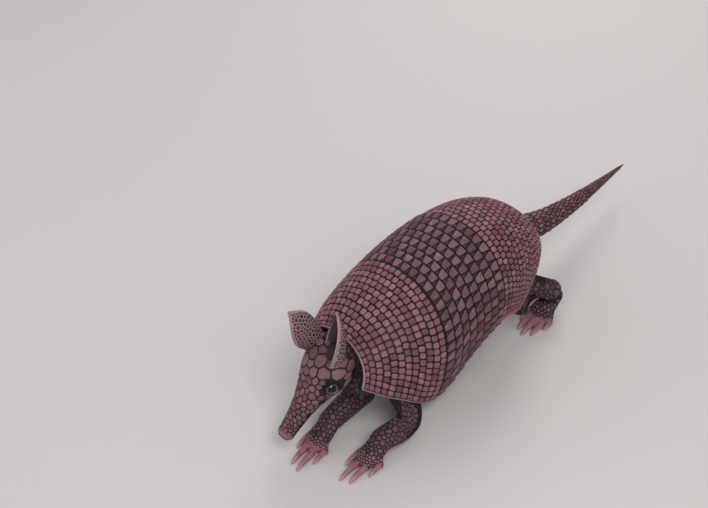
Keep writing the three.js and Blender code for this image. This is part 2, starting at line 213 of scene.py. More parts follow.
def addObject(name, data):
    made = bpy.data.objects.new(name, data)
    bpy.context.scene.collection.objects.link(made)
    return made


def applied(mesh, kind, **wanted):
    # a mesh after one modifier
    holder = addObject("applied", mesh)
    modifier = holder.modifiers.new("change", kind)
    for name, value in wanted.items():
        setattr(modifier, name, value)
    made = bpy.data.meshes.new_from_object(
        holder.evaluated_get(bpy.context.evaluated_depsgraph_get()))
    bpy.data.objects.remove(holder)
    return made


def finishPiece(name, bm, material, slot, *nodes):
    mesh = meshOf(bm, name)
    mesh.shade_smooth()
    mesh.materials.append(material)
    piece = addObject(name, mesh)
    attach(piece, "root")
    if nodes:
        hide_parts(*nodes)
    return piece


def newPiece(name, bm, material, slot, *nodes):
    bmesh.ops.recalc_face_normals(bm, faces=bm.faces)
    return finishPiece(name, bm, material, slot, *nodes)


def evened(bm, verts):
    bmesh.ops.smooth_vert(bm, verts=verts, factor=0.5, use_axis_x=True, use_axis_y=True, use_axis_z=True)


def layers(bm):
    # the values that every horny piece carries from point to point
    return [bm.verts.layers.float.get(label) or bm.verts.layers.float.new(label)
            for label in ("tint", "groove", "rim", "flush")]


def bakeMap(bm):
    return bm.loops.layers.uv.get("OFBake") or bm.loops.layers.uv.new("OFBake")


def tube(bm, sides, steps, tip=1):
    # a closed cylinder of height 1 stood up by the operator and cut across into steps; gives its points
    first = len(bm.verts)
    made = bmesh.ops.create_cone(bm, cap_ends=True, segments=sides, radius1=1, radius2=tip, depth=1)["verts"]
    lengthwise = dict.fromkeys(e for v in made for e in v.link_edges
                               if abs(e.verts[0].co.z - e.verts[1].co.z) > 0.5)
    bmesh.ops.subdivide_edges(bm, edges=list(lengthwise), cuts=steps - 1)
    bm.verts.ensure_lookup_table()
    return bm.verts[first:]


def scuteForm(corner=0.24, slope=0.065, crown=0.14, sink=0.16, taper=0.0, rise=0.86, shade=0.0):
    # one raised scute on a unit square, its foot at height -sink and its crown at 1
    bm = bmesh.new()
    tint, groove, rim, flush = layers(bm)
    bmesh.ops.create_grid(bm, x_segments=1, y_segments=1, size=0.5)
    for v in bm.verts:
        v.co.x *= 1 - taper * (0.5 - v.co.y)
    bmesh.ops.bevel(bm, geom=bm.verts[:], offset=corner, segments=2, profile=0.5,
                    affect="VERTICES", material=-1)
    face = bm.faces[:]
    foot = bm.verts[:]
    bmesh.ops.inset_individual(bm, faces=face, thickness=slope, use_even_offset=True)
    shoulder = list(face[0].verts)
    bmesh.ops.inset_individual(bm, faces=face, thickness=crown, use_even_offset=True)
    top = list(face[0].verts)
    for group, height, dark in ((foot, -sink, 1.0), (shoulder, rise, 0.2 + shade), (top, 1.0, shade)):
        for v in group:
            v.co.z = height
            v[groove] = dark
    return meshOf(bm, "scuteForm")


def strew(bm, form, spots):
    # one bent copy of the form for every spot: (bend, tint, its patch on the bake map)
    tint, groove, rim, flush = layers(bm)
    bake = bakeMap(bm)
    for bend, shade, (u, v, wide, long) in spots:
        firstVert, firstFace = len(bm.verts), len(bm.faces)
        bm.from_mesh(form)
        bm.verts.ensure_lookup_table()
        bm.faces.ensure_lookup_table()
        for f in bm.faces[firstFace:]:
            for loop in f.loops:
                loop[bake].uv = (u + loop.vert.co.x * wide, v + loop.vert.co.y * long)
        for vert in bm.verts[firstVert:]:
            vert.co = bend(vert.co)
            vert[tint] = shade


trunkStations = dict(  # the trunk's cross-sections from the neck to the tail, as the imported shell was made
    back=(-140, -98, -50, -7, 42, 88, 128, 157),
    height=(125, 141, 154, 163, 168, 163, 145, 112),
    lean=(12, 10, 6, 5, 7, 15, 27, 38),
    halfWidth=(45, 64, 77, 79, 77, 74, 67, 48),
    widest=(39, 62, 82, 80, 78, 75, 68, 46),
    rim=(46, 90, 132, 101, 92, 98, 96, 70),
    belly=(69, 102, 121, 117, 114, 114, 104, 82),
)
shell = dict(sweep=105, power=2.2, thickness=4.0, lap=1.3, bands=8, shoulderEnd=2 / 7, hipStart=4 / 7,
             seam=0.0013, tuck=1.7, wall=2.6, groove=0.95, bead=0.9, edge=1.5, girth=0.27)
# where a plate's faces and its scutes lie on the bake map
sheetMap = dict(across=0.9, along=0.1, under=0.07, over=0.19, side=0.465, end=0.255)
scuteMap = dict(across=0.45, start=0.31, along=0.66)
girthSteps = dict(count=48, ahead=0.004, tightest=0.6, widest=1.15, follow=0.8)
scuteRow = dict(pitch=7.7, inset=1.9, margin=0.0038, length=0.9, wide=(0.87, 0.92), long=(0.95, 1.02),
                height=(0.86, 1.0), shift=0.02, turn=0.06)


def smoothly(values, t):
    # a value that runs smoothly through the stations' values, t from 0 to 1
    last = len(values) - 1
    spot = clamp(t) * last
    first = min(int(spot), last - 1)
    share = spot - first
    a, b, c, d = (values[min(max(i, 0), last)] for i in range(first - 1, first + 3))
    start, end = (c - a) / 2, (d - b) / 2
    return b + share * (start + share * (3 * (c - b) - 2 * start - end
                                         + share * (2 * (b - c) + start + end)))


def rounded(angle, power):
    # sine and cosine on a circle that is squared off a little by its power
    def bent(value):
        return math.copysign(abs(value) ** (2 / power), value)
    return bent(math.sin(angle)), bent(math.cos(angle))


stationCache = {}


def section(t):
    # the cross-section's own numbers at t, kept because rows ask for the same ones again
    key = round(t, 5)
    if key not in stationCache:
        now = {name: smoothly(values, t) for name, values in trunkStations.items()}
        below = now["rim"] - now["widest"]
        now["rimAngle"] = math.pi - math.acos(clamp(below / shell["sweep"]) ** 1.1)
        now["sin"] = math.sin(math.radians(now["lean"]))
        now["cos"] = math.cos(math.radians(now["lean"]))
        stationCache[key] = now
    return stationCache[key]


def shellPoint(t, across, lift):
    # across runs from rim to rim, -1 to 1, and lift is the height over the shell's face
    now = section(t)
    side, up = rounded(across * now["rimAngle"], shell["power"])
    widest = now["widest"]
    rise = ((widest if up > 0 else shell["sweep"]) + lift) * up
    depth = widest - rise
    return place((now["halfWidth"] + lift) * side, now["back"] - depth * now["sin"],
                 now["height"] - depth * now["cos"])


def acrossTable(t):
    # running girth from the ridge to the rim, faster where the rows close up, so that scutes stay square
    steps = girthSteps["count"]
    step = girthSteps["ahead"] if t < 0.99 else -girthSteps["ahead"]
    here = [shellPoint(t, k / steps, 0) for k in range(steps + 1)]
    ahead = [shellPoint(t + step, k / steps, 0) for k in range(steps + 1)]
    ridgeStep = (ahead[0] - here[0]).length
    table = [0.0]
    for k in range(steps):
        stretch = (ahead[k] - here[k]).length / ridgeStep
        stretch = clamp(stretch, girthSteps["tightest"], girthSteps["widest"]) ** girthSteps["follow"]
        table.append(table[-1] + (here[k + 1] - here[k]).length / stretch)
    return table


def acrossAt(table, girth):
    # how far across a running girth lies
    total = abs(girth)
    k = min(bisect.bisect_right(table, total), len(table) - 1)
    share = (total - table[k - 1]) / (table[k] - table[k - 1])
    return math.copysign((k - 1 + share) / (len(table) - 1), girth)


def onSheet(tFrom, tTo, lap, t, across, height):
    # a point over a plate's wall, which its lap raises towards the rear
    along = (t - tFrom) / (tTo - tFrom)
    return shellPoint(t, across, lap * along - shell["groove"] + height)


def shellSheet(tFrom, tTo, rows, lap, highlightEnds, columns=60):
    # the plate itself: a curved wall, dark where the scutes stand on it, with a low bead along its free
    # edges that is painted pale as an edge highlight; its front edge slips under the plate ahead
    bm = bmesh.new()
    tint, groove, rim, flush = layers(bm)
    bmesh.ops.create_grid(bm, x_segments=columns, y_segments=rows, size=0.5)
    length = (shellPoint(tTo, 0, 0) - shellPoint(tFrom, 0, 0)).length
    edge = shell["edge"] * millimetre
    for v in bm.verts:
        v[groove] = 1.0
        fromSide = 0.5 - abs(v.co.x)
        fromEnd = 0.5 - abs(v.co.y)
        if abs(fromSide - 1 / columns) < 1e-4:
            v.co.x = math.copysign(0.5 - edge / shell["girth"], v.co.x)
        if abs(fromEnd - 1 / rows) < 1e-4:
            v.co.y = math.copysign(0.5 - edge / length, v.co.y)
        # the side edges, and the ends asked for, take the rim colour: a painted edge highlight on the bead
        if fromSide < 1e-4 or (fromEnd < 1e-4 and highlightEnds[v.co.y > 0]):
            v[rim] = 1.0
            v[groove] = 0.0
    bake = bakeMap(bm)
    made = bmesh.ops.extrude_face_region(bm, geom=bm.faces[:])
    under = {v for v in made["geom"] if isinstance(v, bmesh.types.BMVert)}
    for f in bm.faces:
        hidden = sum(v in under for v in f.verts)
        middle = f.calc_center_median()
        for loop in f.loops:
            x, y, low = loop.vert.co.x, loop.vert.co.y, loop.vert in under
            if hidden in (0, len(f.verts)):
                level = sheetMap["under" if low else "over"] + y * sheetMap["along"]
                loop[bake].uv = 0.5 + x * sheetMap["across"], level
            elif abs(middle.x) > 0.4999:
                loop[bake].uv = 0.5 + math.copysign(sheetMap["side"] + low * 0.02, x), 0.5 + y * 0.94
            else:
                level = sheetMap["end"] + low * 0.012 + (y > 0) * 0.02
                loop[bake].uv = 0.5 + x * sheetMap["across"], level
    for v in bm.verts:
        along = v.co.y + 0.5
        sink = shell["wall"] if v in under else 0.0
        bead = shell["groove"] * shell["bead"] * v[rim] if v not in under else 0.0
        lift = lap * along - shell["groove"] - sink + bead
        tuck = shell["tuck"] * shell["seam"] if along < 1e-4 and tFrom > 0 else 0.0
        v.co = shellPoint(lerp(tFrom, tTo, along) - tuck, v.co.x * 2, lift)
    bmesh.ops.recalc_face_normals(bm, faces=bm.faces)
    return bm


def scuteSpots(tFrom, tTo, rows, lap, seed):
    # the rows of scutes on a shield, each row shifted by half a scute against the last
    rng = random.Random(seed)
    spots = []
    margin = scuteRow["margin"]
    for row in range(rows):
        middle = lerp(tFrom + margin, tTo - margin, (row + 0.5) / rows)
        length = (tTo - tFrom - 2 * margin) / rows * scuteRow["length"]
        table = acrossTable(middle)
        girth = table[-1] - scuteRow["inset"] * millimetre
        count = round(2 * girth / (scuteRow["pitch"] * millimetre))
        if (count + row) % 2:
            count += 1
        step = 2 * girth / count
        for column in range(count):
            centre = -girth + (column + 0.5) * step
            wide, long = rng.uniform(*scuteRow["wide"]), rng.uniform(*scuteRow["long"])
            shiftT, shiftG = (rng.gauss(0, scuteRow["shift"]) * size for size in (length, step))
            turn = rng.gauss(0, scuteRow["turn"])
            height = shell["groove"] * rng.uniform(*scuteRow["height"])

            def bend(co, centre=centre, wide=wide, long=long, middle=middle, turn=turn, height=height,
                     shiftT=shiftT, shiftG=shiftG, length=length, step=step, table=table):
                x = co.x * math.cos(turn) - co.y * math.sin(turn)
                y = co.x * math.sin(turn) + co.y * math.cos(turn)
                across = acrossAt(table, centre + shiftG + x * step * wide)
                return onSheet(tFrom, tTo, lap, middle + shiftT + y * length * long, across, co.z * height)

            perGirth, perLength = scuteMap["across"] / table[-1], scuteMap["along"] / (tTo - tFrom)
            patch = (0.5 + centre * perGirth, scuteMap["start"] + (middle - tFrom) * perLength,
                     step * perGirth * wide, length * perLength * long)
            spots.append((bend, rng.random(), patch))
    return spots


def shieldPiece(name, tFrom, tTo, rows, lap, highlightEnds, seed, *nodes):
    bm = shellSheet(tFrom, tTo, rows * 2, lap, highlightEnds)
    strew(bm, scuteForm(), scuteSpots(tFrom, tTo, rows, lap, seed))
    return finishPiece(name, bm, materials["shield"], "shield", *nodes)


shieldPiece("shoulder_scutes", 0, shell["shoulderEnd"] - shell["seam"], 12, shell["lap"], (True, False), 3,
            "shoulder_shield")
shieldPiece("hip_scutes", shell["hipStart"], 1, 17, 0, (False, True), 5, "hip_shield")
print("shields made")

bandShare = (shell["hipStart"] - shell["shoulderEnd"]) / shell["bands"]
bandRow = dict(pitch=11.8, inset=1.2, front=0.6, at=0.52, length=0.86, wide=(0.91, 0.95), height=(0.88, 1.0),
               bow=0.02)
bandWedge = dict(at=0.09, length=0.5, wide=0.36, height=0.55, clear=0.2, palest=0.4)


def bandPiece(number, seed):
    # one row of kites that narrow to the front, with small low wedges between their front ends, painted dark
    # as the shade between the kites
    rng = random.Random(seed)
    tFrom = shell["shoulderEnd"] + (number - 1) * bandShare
    tTo = tFrom + bandShare - shell["seam"]
    lap = shell["lap"]
    bm = shellSheet(tFrom, tTo, 4, lap, (False, False))
    table = acrossTable((tFrom + tTo) / 2)
    girth = table[-1] - bandRow["inset"] * millimetre
    count = round(2 * girth / (bandRow["pitch"] * millimetre)) // 2 * 2 + number % 2
    step = 2 * girth / count
    perGirth = scuteMap["across"] / table[-1]
    kites, wedges = [], []
    for column in range(count):
        centre = -girth + (column + 0.5) * step
        shade, wide = rng.random(), rng.uniform(*bandRow["wide"])
        height = shell["groove"] * rng.uniform(*bandRow["height"])
        bow = rng.gauss(0, bandRow["bow"])

        def kite(co, centre=centre, wide=wide, height=height, bow=bow):
            t = lerp(tFrom, tTo, bandRow["at"] + co.y * bandRow["length"] + bow * co.x)
            across = acrossAt(table, centre + co.x * step * wide)
            return onSheet(tFrom, tTo, lap, t, across, co.z * height)

        kites.append((kite, shade, (0.5 + centre * perGirth, 0.65, step / table[-1] * 0.4, 0.6)))
    for column in range(count + 1):
        centre = -girth + column * step
        if abs(centre) > girth - step * bandWedge["clear"]:
            continue
        # the wedges' tints stay at the dark end, as painted shade
        shade = rng.random() * bandWedge["palest"]

        def wedge(co, centre=centre):
            t = lerp(tFrom, tTo, bandWedge["at"] + (0.5 - co.y) * bandWedge["length"])
            across = acrossAt(table, centre + co.x * step * bandWedge["wide"])
            return onSheet(tFrom, tTo, lap, t, across, co.z * shell["groove"] * bandWedge["height"])

        wedges.append((wedge, shade, (0.5 + centre * perGirth, 0.34, step / table[-1] * 0.05, 0.02)))
    strew(bm, scuteForm(corner=0.16, slope=0.05, crown=0.1, taper=1 - bandRow["front"]), kites)
    # the wedges' tops are partly darkened to the groove colour: painted shade
    strew(bm, scuteForm(corner=0.1, slope=0.07, crown=0.08, taper=0.7, shade=0.55), wedges)
    return finishPiece(f"band_scutes_{number}", bm, materials["band"], "band", f"band_{number}")


for number in range(1, shell["bands"] + 1):
    bandPiece(number, 20 + number)
print("bands made")

tail = dict(route=((0, 132, 98), (0, 157, 91), (-2, 205, 77), (-8, 275, 63.5), (-17, 345, 52),
                   (-28, 420, 40)),
            rootRadius=19.5, tipRadius=1.6, power=0.95, rings=12, ringed=0.6, ringPower=0.88, gap=0.4,
            flare=0.9, groove=0.75, paleFrom=0.955)
ringRow = dict(front=(0.04, 0.36), rear=0.97, wide=(6.4, 4.4), fewest=8)
tipRow = dict(start=0.004, end=0.975, long=(4.0, 1.9), wide=(3.9, 2.2), fewest=5, sink=0.45, height=0.42)


def smoothRoute(route, steps=60):
    # points spaced evenly along a centripetal Catmull-Rom line through the route
    points = [Vector(p) for p in route]
    points = [points[0] * 2 - points[1]] + points + [points[-1] * 2 - points[-2]]
    dense = []
    for a, b, c, d in zip(points, points[1:], points[2:], points[3:]):
        gaps = [math.sqrt((q - p).length) for p, q in ((a, b), (b, c), (c, d))]
        start = ((b - a) / gaps[0] - (c - a) / (gaps[0] + gaps[1]) + (c - b) / gaps[1]) * gaps[1]
        end = ((c - b) / gaps[1] - (d - b) / (gaps[1] + gaps[2]) + (d - c) / gaps[2]) * gaps[1]
        for k in range(steps):
            s = k / steps
            dense.append(b + s * (start + s * (3 * (c - b) - 2 * start - end
                                               + s * (2 * (b - c) + start + end))))
    dense.append(points[-2])
    return dense


class Route:
    # a line that is asked for points by its share of length
    step = 0.004

    def __init__(self, points):
        self.points = points
        self.run = [0.0]
        for p, q in zip(points, points[1:]):
            self.run.append(self.run[-1] + (q - p).length)
        self.length = self.run[-1]

    def at(self, share):
        goal = clamp(share) * self.length
        k = min(max(bisect.bisect_right(self.run, goal), 1), len(self.points) - 1)
        part = (goal - self.run[k - 1]) / (self.run[k] - self.run[k - 1])
        return self.points[k - 1].lerp(self.points[k], part)

    def ahead(self, share):
        return (self.at(share + self.step) - self.at(share - self.step)).normalized()


tailLine = Route(smoothRoute(tail["route"]))


def tailRadius(share):
    return lerp(tail["rootRadius"], tail["tipRadius"], share ** tail["power"])


def tailPoint(share, angle, lift):
    # angle 0 is the tail's upper side; lift is the height over its skin
    ahead = tailLine.ahead(share)
    right = Vector((0, 0, 1)).cross(ahead).normalized()
    up = ahead.cross(right)
    radius = tailRadius(share) + lift
    spot = tailLine.at(share) + right * math.sin(angle) * radius + up * math.cos(angle) * radius
    return place(*spot)


def ringEnd(i):
    return tail["ringed"] * (i / tail["rings"]) ** tail["ringPower"]


def tailTube(shareFrom, shareTo, steps, liftAt, sides=40):
    # a closed length of tail
    bm = bmesh.new()
    tint, groove, rim, flush = layers(bm)
    tube(bm, sides, steps)
    bake = bakeMap(bm)
    for f in bm.faces:
        middle = f.calc_center_median()
        turn = math.atan2(middle.x, middle.y)
        for loop in f.loops:
            x, y, z = loop.vert.co
            if abs(middle.z) > 0.499:
                loop[bake].uv = (0.5 + math.copysign(0.3, middle.z) + x * 0.02, 0.28 + y * 0.02)
            else:
                angle = turn + math.remainder(math.atan2(x, y) - turn, 2 * math.pi)
                loop[bake].uv = (0.5 + angle / math.pi * 0.45, 0.13 + z * 0.22)
    for v in bm.verts:
        along = v.co.z + 0.5
        share = lerp(shareFrom, shareTo, along)
        v[groove] = 1 - ease((share - tail["paleFrom"]) / 0.02)
        v[tint] = 0.9
        v.co = tailPoint(share, math.atan2(v.co.x, v.co.y), liftAt(along))
    bmesh.ops.recalc_face_normals(bm, faces=bm.faces)
    return bm


def tailScutes(shareFrom, shareTo, count, wide, long, height, base, offset, rng, low=0.31, high=0.98):
    # low and high are the row's ends on the bake map
    step = 2 * math.pi / count
    spots = []
    for column in range(count):
        centre = (column + offset) * step
        lift = height * rng.uniform(0.82, 1.0)

        def bend(co, centre=centre, lift=lift):
            share = lerp(shareFrom, shareTo, 0.5 + co.y * long)
            return tailPoint(share, centre + co.x * step * wide, base(share) + co.z * lift)

        patch = ((column + 0.75) / (count + 1), (low + high) / 2, wide / (count + 1), (high - low) * 0.95)
        spots.append((bend, rng.random(), patch))
    return spots


for i in range(tail["rings"]):
    rng = random.Random(50 + i)
    start, end = ringEnd(i), ringEnd(i + 1) - tail["gap"] / tailLine.length

    def ringLift(share, start=start, end=end):
        return tail["flare"] * (share - start) / (end - start) - tail["groove"]

    bm = tailTube(start, end, 4, lambda along: tail["flare"] * along - tail["groove"])
    count = round(2 * math.pi * tailRadius(start) / lerp(*ringRow["wide"], i / tail["rings"]))
    count = max(count, ringRow["fewest"])
    front, split, rear = (lerp(start, end, share) for share in (*ringRow["front"], ringRow["rear"]))
    strew(bm, scuteForm(corner=0.2, slope=0.1, crown=0.14),
          tailScutes(front, split, count, 0.86, 0.84, tail["groove"] * 0.75, ringLift, 0.5, rng, 0.31, 0.54))
    strew(bm, scuteForm(corner=0.22, slope=0.09, crown=0.14, taper=0.18),
          tailScutes(split, rear, count, 0.88, 0.92, tail["groove"], ringLift, 0, rng, 0.55, 0.98))
    finishPiece(f"tail_scutes_{i + 1}", bm, materials["tail"], "tail", f"tail_ring_{i + 1}")

rng = random.Random(80)
bm = tailTube(tail["ringed"], 1, 30, lambda along: -tipRow["sink"], 24)
share, row = tail["ringed"] + tipRow["start"], 0
while share < tipRow["end"]:
    past = (share - tail["ringed"]) / (1 - tail["ringed"])
    length = lerp(*tipRow["long"], past) / tailLine.length
    count = max(round(2 * math.pi * tailRadius(share) / lerp(*tipRow["wide"], past)), tipRow["fewest"])
    low, high = (lerp(0.31, 0.98, part) for part in (past, past + length / (1 - tail["ringed"])))
    strew(bm, scuteForm(corner=0.26, slope=0.12, crown=0.12),
          tailScutes(share, share + length, count, 0.86, 0.86, tipRow["height"],
                     lambda at: -tipRow["sink"], row % 2 / 2, rng, low, high))
    share += length
    row += 1
finishPiece("tail_tip_scales", bm, materials["tail"], "tail", "tail_tip")
print("tail made,", row, "rows at the tip")

headForm = dict(at=(3.5, -138.5, 113.5), pitch=48, yaw=-5, roll=-8, length=120, power=2.25)
headStations = dict(  # from the nape to the nose
    halfWidth=(22, 28, 29.5, 26, 19.5, 14.8, 12, 10.3, 9.4),
    top=(18, 23, 23.5, 20.5, 16.2, 12.8, 10.4, 9.2, 8.6),
    bottom=(18, 22.5, 23, 21, 16.5, 13, 10.6, 9, 7.2),
)
headFrame = (Matrix.Translation(headForm["at"]) @ Matrix.Rotation(math.radians(headForm["yaw"]), 4, "Z")
             @ Matrix.Rotation(math.radians(headForm["pitch"]), 4, "X")
             @ Matrix.Rotation(math.radians(headForm["roll"]), 4, "Y"))
eyeForm = dict(radius=7.6, along=0.345, out=21.2, up=3.5)
limbs = dict(
    forefoot_left=dict(side=1, joints=((38, -102, 80), (77, -101, 23), (67, -145, 18)), foot=(67, -148, 3)),
    forefoot_right=dict(side=-1, joints=((-22, -97, 80), (7, -115, 24), (10, -165, 18)),
                        foot=(12, -173, 8)),
    hindfoot_left=dict(side=1, joints=((34, 108, 92), (50, 104, 56), (57, 154, 36)), foot=(57, 161, 4)),
    hindfoot_right=dict(side=-1, joints=((-34, 96, 92), (-50, 90, 56), (-57, 140, 34)),
                        foot=(-57, 147, -6)),
)
limbRadii = dict(fore=(20, 16.5, 16, 12.5), hind=(32, 26, 24, 12))
pads = dict(fore=dict(length=15, height=14, back=12.5, front=13, flat=0.72),
            hind=dict(length=27, height=22, back=11.5, front=14, flat=0.68))
digits = dict(  # aside, ahead, radius and claw of each digit, from the inner side out
    fore=((-13.6, 19, 4.2, 19), (-5, 28, 4.8, 28), (5.2, 26, 4.8, 26), (14.2, 14, 4.2, 18)),
    hind=((-15.5, 30, 4.2, 14), (-8.8, 40, 5, 19), (0, 43, 5.3, 21), (8.8, 39, 5, 18),
          (15.2, 28, 4.1, 12)),
)
collar = (((0, -108, 92), 35), ((0, -128, 96), 30), ((3, -137, 104), 25))  # the neck's middles and radii
knuckle = dict(at=0.55, up=0.25, root=1.1, wide=0.9)
skinForm = dict(voxel=1.25, sink=0.13, clear=1.2, smooth=6, floor=0.15)
skinInset = dict(head=0.45, limb=(1, 0.8, 0.7, 0.6), pad=0.5, toe=0.35)  # how deep each form lies in its solid


def headPoint(share, angle, lift):
    side, up = rounded(angle, headForm["power"])
    tall = smoothly(headStations["top" if up > 0 else "bottom"], share)
    wide = smoothly(headStations["halfWidth"], share)
    return headFrame @ Vector(((wide + lift) * side, -share * headForm["length"], (tall + lift) * up))


def drum(bm, sides, steps, bend):
    # a closed cylinder whose every point goes where bend(angle, along) says
    for v in tube(bm, sides, steps):
        v.co = bend(math.atan2(v.co.x, v.co.y), v.co.z + 0.5)


def capsule(bm, start, end, startRadius, endRadius, flat=1.0, sides=24):
    # a straight bar with round ends, pressed flat from above when flat is under 1
    start, end = Vector(start), Vector(end)
    ahead = (end - start).normalized()
    right = Vector((0, 0, 1)).cross(ahead).normalized()
    up = ahead.cross(right)
    ball = bmesh.ops.create_uvsphere(bm, u_segments=sides, v_segments=sides // 2, radius=1)["verts"]
    for v in ball:
        isFront = v.co.z > 0
        radius = endRadius if isFront else startRadius
        v.co = ((end if isFront else start) + ahead * v.co.z * radius + right * v.co.x * radius
                + up * v.co.y * radius * flat)


def footSpots(name):
    # the foot's own directions, and each digit's root, tip, radius and claw
    limb = limbs[name]
    kind = name[:4]
    x, y, turn = limb["foot"]
    spin = Matrix.Rotation(math.radians(turn), 3, "Z")
    ahead, aside = spin @ Vector((0, -1, 0)), spin @ Vector((limb["side"], 0, 0))
    pad = pads[kind]

    def spot(out, forward, height):
        return Vector((x, y, height)) + aside * out + ahead * forward

    toes = [dict(root=spot(out * 0.55, pad["length"] * 0.6, pad["height"] * 0.8),
                 tip=spot(out, forward, radius * (1 - skinForm["sink"])), radius=radius, claw=claw,
                 ahead=ahead, aside=aside)
            for out, forward, radius, claw in digits[kind]]
    heel = spot(0, 0, pad["height"])
    ball = spot(0, pad["length"], pad["front"] * pad["flat"] * (1 - skinForm["sink"]))
    return dict(toes=toes, heel=heel, ball=ball, pad=pad, ahead=ahead, aside=aside,
                bare=0.3 if kind == "fore" else 0.7)


def fleshForms():
    # trunk, head, neck, legs and toes as plain closed forms, not yet joined
    bm = bmesh.new()
    under = shell["thickness"] + skinForm["clear"]

    def trunkBend(angle, along):
        t = lerp(0.02, 0.985, along)
        side, up = rounded(angle, shell["power"])
        now = section(t)
        rise = (now["widest"] - under) * up if up > 0 else (now["belly"] - now["widest"]) * up
        depth = now["widest"] - rise
        return Vector(((now["halfWidth"] - under) * side, now["back"] - depth * now["sin"],
                       now["height"] - depth * now["cos"]))

    drum(bm, 56, 40, trunkBend)
    drum(bm, 48, 48, lambda angle, along: headPoint(along, angle, -skinInset["head"]))
    for (start, startRadius), (end, endRadius) in zip(collar, collar[1:]):
        capsule(bm, start, end, startRadius, endRadius, sides=36)
    for name, limb in limbs.items():
        radii = [radius - inset for radius, inset in zip(limbRadii[name[:4]], skinInset["limb"])]
        top, middle, end = limb["joints"]
        capsule(bm, top, middle, *radii[:2], sides=36)
        capsule(bm, middle, end, *radii[2:], sides=36)
        foot = footSpots(name)
        back, front = (foot["pad"][part] - skinInset["pad"] for part in ("back", "front"))
        capsule(bm, foot["heel"], foot["ball"], back, front, foot["pad"]["flat"], 32)
        for toe in foot["toes"]:
            radius = toe["radius"] - skinInset["toe"]
            bend = toe["root"].lerp(toe["tip"], knuckle["at"]) + Vector((0, 0, radius * knuckle["up"]))
            capsule(bm, toe["root"], bend, radius * knuckle["root"], radius * knuckle["wide"], sides=16)
            capsule(bm, bend, toe["tip"], radius * knuckle["wide"], radius, sides=16)
    for v in bm.verts:
        v.co = place(*v.co)
    return bm


def headSpot(point):
    # a point in the head's own frame, in millimetres
    return headFrameBack @ measured(point)


def headShare(spot):
    # how far down the head such a point lies, 0 at the nape and 1 at the nose
    return -spot.y / headForm["length"]


headFrameBack = headFrame.inverted()
noseForm = dict(start=0.925, bulge=0.75, edge=2.2, round=1.5, cleft=0.9, cleftWidth=0.8, nostril=2.3,
                apart=4.3, up=2.4, depth=3.6, ring=0.45)
mouthForm = dict(level=-3.2, hook=2.2, start=0.5, end=0.94, depth=1.1, width=0.8, lip=0.35, lipAt=2.2)
lidForm = dict(wide=6.7, tall=5.7, thick=0.8, inset=1.6, inside=0.86, reach=1.9, crease=1.42,
               creaseDepth=0.5)  # wide and tall are the opening's half sizes
carved = (0.2, 1.05)  # the part of the head's length that has eyes, mouth and nose
eyes = {}
for side in (1, -1):
    outward = Vector((side * 0.91, -0.33, 0.25)).normalized()
    forward = (Vector((0, -1, 0)) + outward * outward.y).normalized()
    eyes[side] = dict(centre=Vector((side * eyeForm["out"], -eyeForm["along"] * headForm["length"],
                                     eyeForm["up"])),
                      outward=outward, forward=forward, above=outward.cross(forward) * side)


def eyeSpot(spot, eye):
    # height along the eye's axis, and how far out across it in openings
    away = spot - eye["centre"]
    return away.dot(eye["outward"]), math.hypot(away.dot(eye["forward"]) / lidForm["wide"],
                                                away.dot(eye["above"]) / lidForm["tall"])


def mouthGap(spot):
    # how far a point of the head lies from the line of the mouth, and how deep the mouth is there
    share = headShare(spot)
    level = mouthForm["level"] + mouthForm["hook"] * ease((mouthForm["start"] + 0.1 - share) / 0.1)
    near = ease((share - mouthForm["start"]) / 0.04) * ease((mouthForm["end"] + 0.02 - share) / 0.03)
    return abs(spot.z - level), near


def carveEye(v, spot, eye, groove):
    # the opening down to the ball, the lid round it and the crease behind the lid
    height, out = eyeSpot(spot, eye)
    if height < 0 or out > lidForm["reach"]:
        return
    ball = math.sqrt(max(eyeForm["radius"] ** 2 - (min(out, 1.05) * lidForm["wide"]) ** 2, 0))
    lid = ball + lidForm["thick"]
    if out < 1:
        inside = ease((out - lidForm["inside"]) / (1 - lidForm["inside"]))
        goal = min(height, lerp(ball - lidForm["inset"], lid, inside))
    else:
        crease = math.exp(-((out - lidForm["crease"]) / 0.09) ** 2)
        goal = lerp(lid, height, ease((out - 1) / 0.55)) - lidForm["creaseDepth"] * crease
    spot += eye["outward"] * (goal - height)
    v[groove] = max(v[groove], 0.7 * ease((1.85 - out) / 0.5))


def carveMouth(v, spot, groove):
    gap, near = mouthGap(spot)
    if near > 0:
        dip = near * math.exp(-(gap / mouthForm["width"]) ** 2)
        lip = near * math.exp(-((gap - mouthForm["lipAt"]) / 1.1) ** 2)
        inward = dip * mouthForm["depth"] - lip * mouthForm["lip"]
        spot -= Vector((spot.x, 0, 0)).normalized() * inward
        # the slit is darkened along its floor: painted shade
        v[groove] = max(v[groove], 0.9 * dip)


